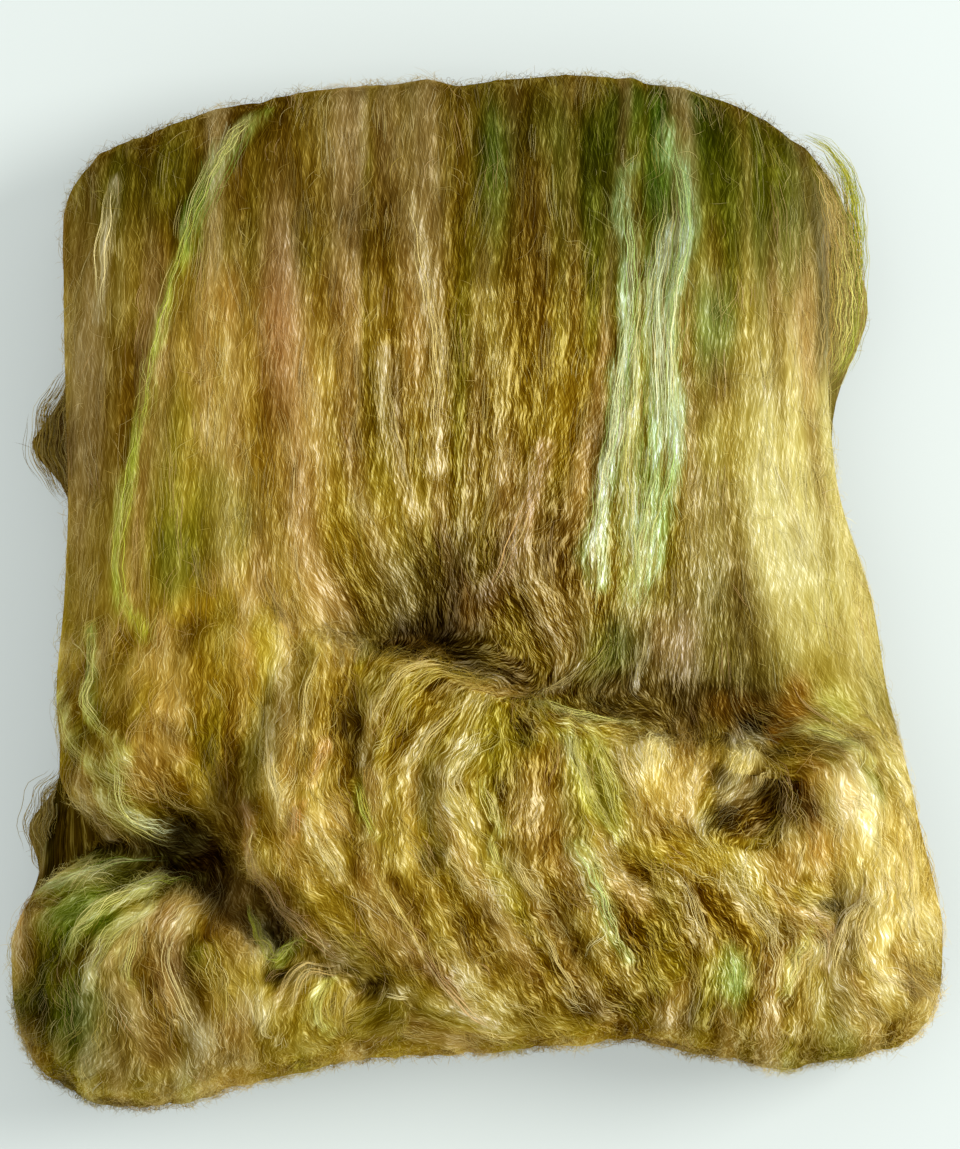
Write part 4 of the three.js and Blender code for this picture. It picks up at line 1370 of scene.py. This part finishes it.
class Nodes:
    """The node tree of one material."""

    def __init__(self, name):
        self.material = bpy.data.materials.new(name)
        self.material.use_nodes = True
        self.tree = self.material.node_tree
        self.shader = self.tree.nodes["Principled BSDF"]

    def add(self, kind, settings=(), sockets=(), output=0):
        node = self.tree.nodes.new(kind)
        for key, value in dict(settings).items():
            setattr(node, key, value)
        for key, value in dict(sockets).items():
            self.put(node.inputs[key], value)
        return Sum(self, node.outputs[output])

    def vector(self, operation, a, b):
        return self.add("ShaderNodeVectorMath", {"operation": operation}, {0: a, 1: b})

    def clamp(self, value, low, high):
        return self.add("ShaderNodeClamp", {}, {"Value": value, "Min": low, "Max": high})

    def mixed(self, share, a, b):
        return self.add("ShaderNodeMix", {"data_type": "RGBA"}, {0: share, 6: a, 7: b}, output=2)

    def noise(self, place, scale, detail, roughness=0.5, output=0):
        """Noise over a place stretched by scale, from 0 to 1 round a half."""
        return self.add("ShaderNodeTexNoise", {"noise_dimensions": "2D"}, {
            "Vector": self.vector("MULTIPLY", place, scale), "Scale": 1.0, "Detail": detail,
            "Roughness": roughness}, output=output)

    def lines(self, place, scale, sharpness):
        """Thin lines where the noise passes a half."""
        away = self.add("ShaderNodeMath", {"operation": "ABSOLUTE"}, {0: self.noise(place, scale, 1.0) - 0.5})
        return self.clamp(1 - away * sharpness, 0, 1)

    def swung(self, place, scale, reach, shift):
        """A place moved to and fro by noise."""
        swing = self.noise(self.vector("ADD", place, (shift, shift, 0)), (scale, scale, 1), 2.0, output=1)
        centred = self.vector("SUBTRACT", swing, (0.5, 0.5, 0.5))
        moved = self.add("ShaderNodeVectorMath", {"operation": "SCALE"}, {"Vector": centred, "Scale": reach})
        return self.vector("ADD", place, moved)

    def streaks(self, place, turn, aslant, pattern):
        """A pattern drawn at the two headings next to the run of the fibres, and blended."""
        low = self.add("ShaderNodeMath", {"operation": "FLOOR"}, {0: turn})
        over = turn - low
        total = 0.0
        for step, share in ((0, 1 - over), (1, over)):
            angle = (low + step) * math.radians(-HEADING_STEP) + math.radians(aslant)
            turned = self.add("ShaderNodeVectorRotate", {"rotation_type": "Z_AXIS"}, {
                "Vector": place, "Center": (0, 0, 0), "Angle": angle})
            total = share * pattern(turned) + total
        return total

    def put(self, socket, value):
        if isinstance(value, Sum):
            self.tree.links.new(socket, value.value)
        else:
            socket.default_value = value

    def finish(self, **sockets):
        for name, value in sockets.items():
            self.put(self.shader.inputs[name.replace("_", " ")], value)
        return self.material


def hair_material():
    nodes = Nodes("silk fibre")
    # The "dye" colours also carry painted shade of the folds and painted light of the loose hairs
    dye = nodes.add("ShaderNodeVertexColor", {"layer_name": "dye"})
    return nodes.finish(Base_Color=dye, Roughness=0.6, Specular_IOR_Level=0.01)


def web_material():
    """Dye streaked along the fibres: locks, and the fine crossing hairs that lie over them, with painted
    shade between them and painted highlight on them.
    """
    nodes = Nodes("carded fibre")
    ground = nodes.add("ShaderNodeVertexColor", {"layer_name": "ground"})
    laid_over = nodes.add("ShaderNodeVertexColor", {"layer_name": "laid"})
    flat = nodes.add("ShaderNodeUVMap", {"uv_map": "flat"})
    turn, curl, crisp = [nodes.add("ShaderNodeAttribute", {"attribute_name": name}, output="Fac")
                         for name in ("turn", "curl", "crisp")]
    waved = nodes.swung(flat, WAVE_SCALE, curl, 0)
    crimped = nodes.swung(waved, CRIMP_SCALE, curl * CRIMP_SHARE, CRIMP_SHIFT)
    locks = nodes.streaks(waved, turn, 0, lambda place: nodes.noise(place, LOCK_SCALE, *LOCK_NOISE))
    hairs, finer = [
        nodes.streaks(crimped, turn, aslant, lambda place: nodes.lines(place, scale, HAIR_SHARPNESS))
        for scale, aslant in ((HAIR_SCALE, HAIR_ASLANT), (FINER_SCALE, FINER_ASLANT))]
    lock_height = (locks - 0.5) * 2.0
    height = (lock_height + hairs * HAIR_HEIGHT + finer * FINER_HEIGHT - HEIGHT_DROP) * crisp
    picked = nodes.clamp((locks - 0.5) * LOCK_CONTRAST + hairs * HAIR_PICK + PICK_BASE, 0, 1)
    dye = nodes.mixed(picked, ground, laid_over)
    # Painted shade where the streaks are low and painted highlight where they are high
    depth = nodes.clamp(LIGHT_AND_SHADE_POWER - height, *LIGHT_AND_SHADE_POWERS)
    shaded = nodes.add("ShaderNodeGamma", {}, {"Color": dye, "Gamma": depth})
    gleam = nodes.add("ShaderNodeVectorMath", {"operation": "MULTIPLY_ADD"}, {
        0: nodes.clamp(height - GLEAM_FROM, 0, GLEAM_MOST), 1: GLEAM_COLOUR, 2: (1, 1, 1)})
    colour = nodes.vector("MULTIPLY", shaded, gleam)
    bump = nodes.add("ShaderNodeBump", {}, {"Strength": 0.6, "Distance": BUMP_DEPTH, "Height": height})
    return nodes.finish(Base_Color=colour, Roughness=0.8, Specular_IOR_Level=0.0, Normal=bump)


# The batt

LYING = {"knots": 9, "length": (12, 30), "share": (0.5, 0.9), "stray": 0.12, "wave": (7, 18),
         "swing": (0.12, 0.4), "spread": 1.5, "lift": (0.1, 0.8), "depth": 0.16,
         "pale": 0.3, "width": (0.07, 0.15), "per": 5}
CURLED = dict(LYING, length=(8, 22), stray=0.3, wave=(6, 15), swing=(0.3, 0.8), spread=1.4, lift=(0.2, 1.4),
              depth=0.2, pale=0.18, width=(0.08, 0.18))
WISPS = dict(CURLED, per=2, width=(0.06, 0.12), stray=0.55, spread=2.5, lift=(0.6, 2.2), depth=0.12)
EDGES = dict(LYING, knots=7, length=(7, 16), stray=0.35, wave=(6, 16), spread=1.2, lift=(0.2, 1.4), per=4)
LOCK_HAIRS = {"knots": 12, "wave": (8, 16), "swing": (0.15, 0.5), "lift": (0.2, 1.4), "float": 0.2,
              "depth": 0.16, "pale": 0.4, "width": (0.09, 0.2)}
FREE_HAIRS = dict(LOCK_HAIRS, share=(0.2, 0.8), lift=(-1.5, 2.5), wave=(7, 16), swing=(0.4, 1.0),
                  width=(0.08, 0.18))
HALO = {"knots": 4, "length": (1.4, 5), "width": (0.06, 0.11), "light": (1.1, 1.8), "lean": (0.7, 0.6),
        "stand": (0.25, 0.8), "curl": 0.5, "droop": 0.2, "pale": 0.35}

# How many hairs each piece has, before those that run off an edge are left out
HAIRS = {"panel_fibres": 2750, "panel_wisps": 1700, "roll_fibres": 4400, "roll_wisps": 2600,
         "side_fibres": 900, "layer_fibres": 1400, "loose_hairs": 13400, "layer_hairs": 2600}
SEED = 7

# Dyes that a lock here and there takes, and how hairs differ from the web beneath
ACCENTS = ("straw", "rose tan", "gold", "brown")
ACCENT_ODDS = 12
ACCENT_SHARE = (0.2, 0.6)
DYE_JITTER = 0.8
HAIR_LIFT = 0.1
SINGLE_DEPTH = 0.7
HAIR_OPEN = (7, 24)
CREAM_SHARE = 0.5

# Dyed locks: stops along a lock, hairs to the square millimetre, their spread in half widths and length
LOCK_STOPS = 40
LOCK_HAIRINESS = 0.14
LEAST_HAIRS = 10
LOCK_SPREAD = 0.45
LOCK_HAIR_LENGTH = 32
LOCK_HAIR_SHARE = (0.15, 0.7)
LOCK_SPAN = (0.6, 1.4)
LOCK_DYE_SHARE = (0.1, 1)
LOCK_LIGHT = (0.75, 1.25)
FREE_STOPS = 30
FREE_GOLD = 0.7
FREE_LIGHT = (0.5, 1.2)

# Where hairs grow: the overlap at the crease, fewer in deep folds, the rims of the layers, the opening
SEAM_OVERLAP = 4
FOLD_BARE = 0.8
FOLD_BARE_RAMP = (12, 30)
RIM_WIDTH = 0.05
RIM_LOWEST = 2
OPENING_X = -100
OPENING_Y = -72
OPENING_REACH = 22
OPENING_MORE = 4

# There are more loose hairs where the web is steep, as its outline is seen there
STEEP = 0.5
STEEP_MORE = 8
VERY_STEEP = 0.25
VERY_STEEP_MORE = 26

# A hair that steps further than this has run off the edge of its layer, and is left out
LONGEST_HOP = 9

# Locks that hang free of the web: dye, spread, hairs, and the line they follow in the air
FREE_LOCKS = [
    ("lime", 1.6, 150, [(92, 131, 58), (99, 130, 56), (106, 124, 52), (110, 114, 48), (110, 100, 44),
        (110, 84, 42), (110, 72, 42), (105, 60, 44), (101, 57, 46)]),
    ("tan", 2.8, 140, [(97, 124, 54), (104, 114, 50), (106, 96, 46), (107, 78, 42), (103, 62, 44),
        (100, 57, 46)]),
    ("pale lime", 2.2, 80, [(104, 108, 50), (107, 96, 46), (108, 82, 44), (107, 70, 44), (103, 61, 46)]),
    ("brown", 2.8, 130, [(-117, 65, 34), (-123, 57, 30), (-127, 46, 26), (-125, 36, 26), (-118, 26, 30)]),
    ("brown", 2.6, 130, [(-119, -50, 32), (-125, -59, 28), (-128, -67, 24), (-127, -75, 20),
        (-122, -84, 16)]),
    ("lime", 0.8, 40, [(-66, -90, 58), (-63, -98, 66), (-60, -106, 74), (-57, -108, 74), (-54, -104, 73),
        (-51, -100, 78)]),
]


def resampled(points, stops):
    """A smooth line through points, read at even steps."""
    line = Rail([(x, y, 0) for x, y in points])
    even = np.linspace(0, line.length[-1], stops)
    return [np.interp(even, line.length, line.points[:, i]) for i in range(2)], line.length[-1]


def build_locks(skin, random, thin, material):
    """Dyed locks laid over the web, each a bundle of waved hairs."""
    xs, ys, owner, spread, share, dyes = [], [], [], [], [], []
    for index, (width, dye, strength, points) in enumerate(LOCKS):
        (line_x, line_y), length = resampled(points, LOCK_STOPS)
        xs.append(line_x)
        ys.append(line_y)
        count = max(int(width * length * LOCK_HAIRINESS * strength), LEAST_HAIRS) // thin
        owner += [index] * count
        spread.append(width * LOCK_SPREAD)
        share.append(np.clip(LOCK_HAIR_LENGTH / length, *LOCK_HAIR_SHARE))
        dyes += [dye] * count
    owner = np.array(owner)
    share = np.array(share)[owner]
    look = dict(LOCK_HAIRS, share=[share * part for part in LOCK_SPAN], spread=np.array(spread))
    x, y = bundles(random, np.array(xs), np.array(ys), owner, look)
    points, normals = lay(skin, random, x, y, look)
    colours = np.array([DYES[dye] for dye in dyes])
    under = hair_colours(random, x, y, owner, LYING)
    colours = mix(under, colours, random.uniform(*LOCK_DYE_SHARE, (len(owner), 1)))
    colours = with_cream(random, colours)
    colours *= random.uniform(*LOCK_LIGHT, (len(owner), 1))
    widths = random.uniform(*look["width"], len(owner))
    mesh_piece("dyed_locks", *tubes(points, normals, widths, np.clip(colours, 0, 1)), material)


def with_cream(random, colours):
    """Lightens a few of the hairs."""
    return blend(colours, "cream", random.random(len(colours)) ** 3 * CREAM_SHARE)


def build_free_locks(shift, random, thin, material):
    """Locks that hang free of the web, where under layers stick out."""
    parts = []
    for dye, spread, count, line in FREE_LOCKS:
        rail = Rail(np.array(line) + shift)
        ys = np.linspace(0, rail.length[-1], FREE_STOPS)[None]
        owner = np.zeros(count // thin, dtype=int)
        look = dict(FREE_HAIRS, spread=spread)
        x, y = bundles(random, ys * 0, ys, owner, look)
        points, normals = lay(rail, random, x, y, look)
        colours = blend(np.tile(DYES[dye], (len(owner), 1)), "gold", random.random(len(owner)) * FREE_GOLD)
        colours *= random.uniform(*FREE_LIGHT, (len(owner), 1))
        colours = with_cream(random, colours)
        parts.append((points, normals, random.uniform(*look["width"], len(owner)), np.clip(colours, 0, 1)))
    mesh_piece("free_locks", *tubes(*[np.concatenate(part) for part in zip(*parts)]), material)


def build_halo(name, skin, random, count, wanted, material):
    """Fine loose hairs that stand off the web all round."""
    x, y = skin.scatter(random, count, wanted)
    points, normals = skin.at(x, y)
    turn = turn_at(x, y)
    ahead, _ = skin.at(x + np.sin(turn), y - np.cos(turn))
    along = ahead - points
    along /= np.maximum(np.linalg.norm(along, axis=1, keepdims=True), SMALLEST)
    across = np.cross(normals, along)
    length = random.uniform(*HALO["length"], (count, 1, 1))
    lean_along, lean_across = [random.normal(0, lean, (count, 1)) for lean in HALO["lean"]]
    heading = normals * random.uniform(*HALO["stand"], (count, 1)) + along * lean_along + across * lean_across
    heading /= np.linalg.norm(heading, axis=1, keepdims=True)
    curl_along, curl_across = [random.normal(0, HALO["curl"], (count, 1)) for _ in range(2)]
    curl = curl_along * along + curl_across * across
    step = np.linspace(0, 1, HALO["knots"])[None, :, None]
    bend = (curl - heading * HALO["droop"])[:, None] * step ** 2
    paths = points[:, None] + (heading[:, None] * step + bend) * length
    paths[..., 2] = np.maximum(paths[..., 2], LOWEST_HAIR)
    # Loose hairs are lighter than the web beneath: painted light on the thin, lit fringe
    colours = dyed(Spots(x, y))[0] * random.uniform(*HALO["light"], (count, 1))
    pale = random.random(count) * HALO["pale"] * in_the_open(x, y, *RIM_OPEN)
    colours = np.clip(blend(colours, "cream", pale), 0, 1)
    widths = random.uniform(*HALO["width"], count)
    lines = np.repeat(normals[:, None], HALO["knots"], 1)
    mesh_piece(name, *tubes(paths, lines, widths, colours), material)


def build_batt():
    web = Web()
    shift = fit_box(web.outer.reshape(-1, 3), cad_box)
    body = build_web(web, shift, web_material())
    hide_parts("batt")
    build_hairs(web, shift, hair_material())


def build_hairs(web, shift, hair):
    """All loose fibre: over the panel and the roll, at the sides and between the layers."""
    thin = 1
    random = np.random.default_rng(SEED)
    outer = Skin(web, web.raised, shift)
    inner = Skin(web, web.inner, shift, -1)
    x, y = web.plan[..., 0], web.plan[..., 1]
    rows = np.arange(len(web.rows))[:, None] + 0 * y
    shown = (rows >= web.first_top - NEAR_TURN_ROWS) & (rows <= web.last_top + FAR_TURN_ROWS)
    line = section("crease", x)
    panel, roll = shown & (y > line - SEAM_OVERLAP), shown & (y < line + SEAM_OVERLAP)
    lit = 1 - FOLD_BARE * smooth(folded(x, y), *FOLD_BARE_RAMP)
    from_side = np.minimum(web.share, 1 - web.share)[None] + 0 * y
    rim = (from_side < RIM_WIDTH) & (web.outer[..., 2] > RIM_LOWEST)
    beside_opening = (web.outer[..., 0] < OPENING_X) & (np.abs(web.outer[..., 1] - OPENING_Y) < OPENING_REACH)
    hidden = rim & ~shown | beside_opening & ~shown
    for name, skin, wanted, look in (
            ("panel_fibres", outer, panel * lit, LYING),
            ("panel_wisps", outer, panel * lit, WISPS),
            ("roll_fibres", outer, roll * lit, CURLED),
            ("roll_wisps", outer, roll * lit, WISPS),
            ("side_fibres", outer, rim, EDGES),
            ("layer_fibres", inner, hidden * (1 + OPENING_MORE * beside_opening), EDGES)):
        clumps(name, skin, random, HAIRS[name] // thin, wanted, look, hair)
    build_locks(outer, random, thin, hair)
    build_free_locks(shift, random, thin, hair)
    upright = np.abs(outer.normals[..., 2])
    at_outline = shown * (1 + STEEP_MORE * (upright < STEEP) + VERY_STEEP_MORE * (upright < VERY_STEEP))
    build_halo("loose_hairs", outer, random, HAIRS["loose_hairs"] // thin, at_outline, hair)
    build_halo("layer_hairs", inner, random, HAIRS["layer_hairs"] // thin, hidden, hair)


# Stage, in metres

TABLE_COLOUR = (0.3, 0.328, 0.322, 1)
TABLE_GLOW = (0.28, 0.306, 0.3, 1)
TABLE_SIZE = 3
TABLE_GAP = 0.0004

# Name, place, size, power and colour of each lamp
LAMPS = [
    ("window", (1.3, 0.24, 1.4), 0.85, 43, (1, 0.985, 0.95)),
    ("room", (-0.4, -0.2, 1.5), 1.4, 6, (1, 0.99, 0.97)),
]
LIT_PLACE = (0, 0, 0.03)
ROOM_COLOUR = (0.97, 0.98, 0.95, 1)
ROOM_STRENGTH = 0.98

CAMERA_DISTANCE = 2.2
CAMERA_TILT = 87
SENSOR_HEIGHT = 36
PHOTO_HEIGHT = 1149
PHOTO_SCALE = 0.2905 * MM
AIM = (0.0008, 0.0045, 0.038)


def table_material():
    """White table top, partly lit from beneath so that shadows stay light and narrow."""
    return Nodes("white table").finish(
        Base_Color=TABLE_COLOUR, Roughness=0.7, Specular_IOR_Level=0.0,
        Emission_Color=TABLE_GLOW, Emission_Strength=1.0)


def build_table():
    bm = bmesh.new()
    bmesh.ops.create_grid(bm, x_segments=1, y_segments=1, size=TABLE_SIZE)
    mesh = bpy.data.meshes.new("table_top")
    bm.to_mesh(mesh)
    bm.free()
    floor = bpy.data.objects.new("table_top", mesh)
    floor.location.z = -TABLE_GAP
    bpy.context.collection.objects.link(floor)
    mesh.materials.append(table_material())
    floor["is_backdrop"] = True


def add_light(name, place, size, power, colour):
    light = bpy.data.lights.new(name, "AREA")
    light.shape = "DISK"
    light.size = size
    light.energy = power
    light.color = colour
    lamp = bpy.data.objects.new(name, light)
    lamp.location = place
    lamp.rotation_euler = (Vector(LIT_PLACE) - Vector(place)).to_track_quat("-Z", "Y").to_euler()
    bpy.context.collection.objects.link(lamp)


def light_scene():
    for lamp in LAMPS:
        add_light(*lamp)
    world = bpy.data.worlds.new("pale room")
    world.use_nodes = True
    sockets = world.node_tree.nodes["Background"].inputs
    sockets["Color"].default_value = ROOM_COLOUR
    sockets["Strength"].default_value = ROOM_STRENGTH
    bpy.context.scene.world = world
    bpy.context.scene.view_settings.view_transform = "Standard"


def place_camera():
    """Looks almost straight down, with the photograph's scale at the height of the batt's sides."""
    camera = bpy.data.objects.new("camera", bpy.data.cameras.new("camera"))
    tilt = math.radians(CAMERA_TILT)
    back = Vector((0, -math.cos(tilt), math.sin(tilt)))
    camera.location = Vector(AIM) + back * CAMERA_DISTANCE
    camera.rotation_euler = (-back).to_track_quat("-Z", "Y").to_euler()
    camera.data.sensor_fit = "VERTICAL"
    camera.data.sensor_height = SENSOR_HEIGHT
    camera.data.lens = SENSOR_HEIGHT * CAMERA_DISTANCE / (PHOTO_HEIGHT * PHOTO_SCALE)
    bpy.context.collection.objects.link(camera)
    bpy.context.scene.camera = camera


build_batt()
build_table()
light_scene()
place_camera()

boxes = {"cad": [list(corner) for corner in cad_box], "visual": [list(corner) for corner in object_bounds()]}
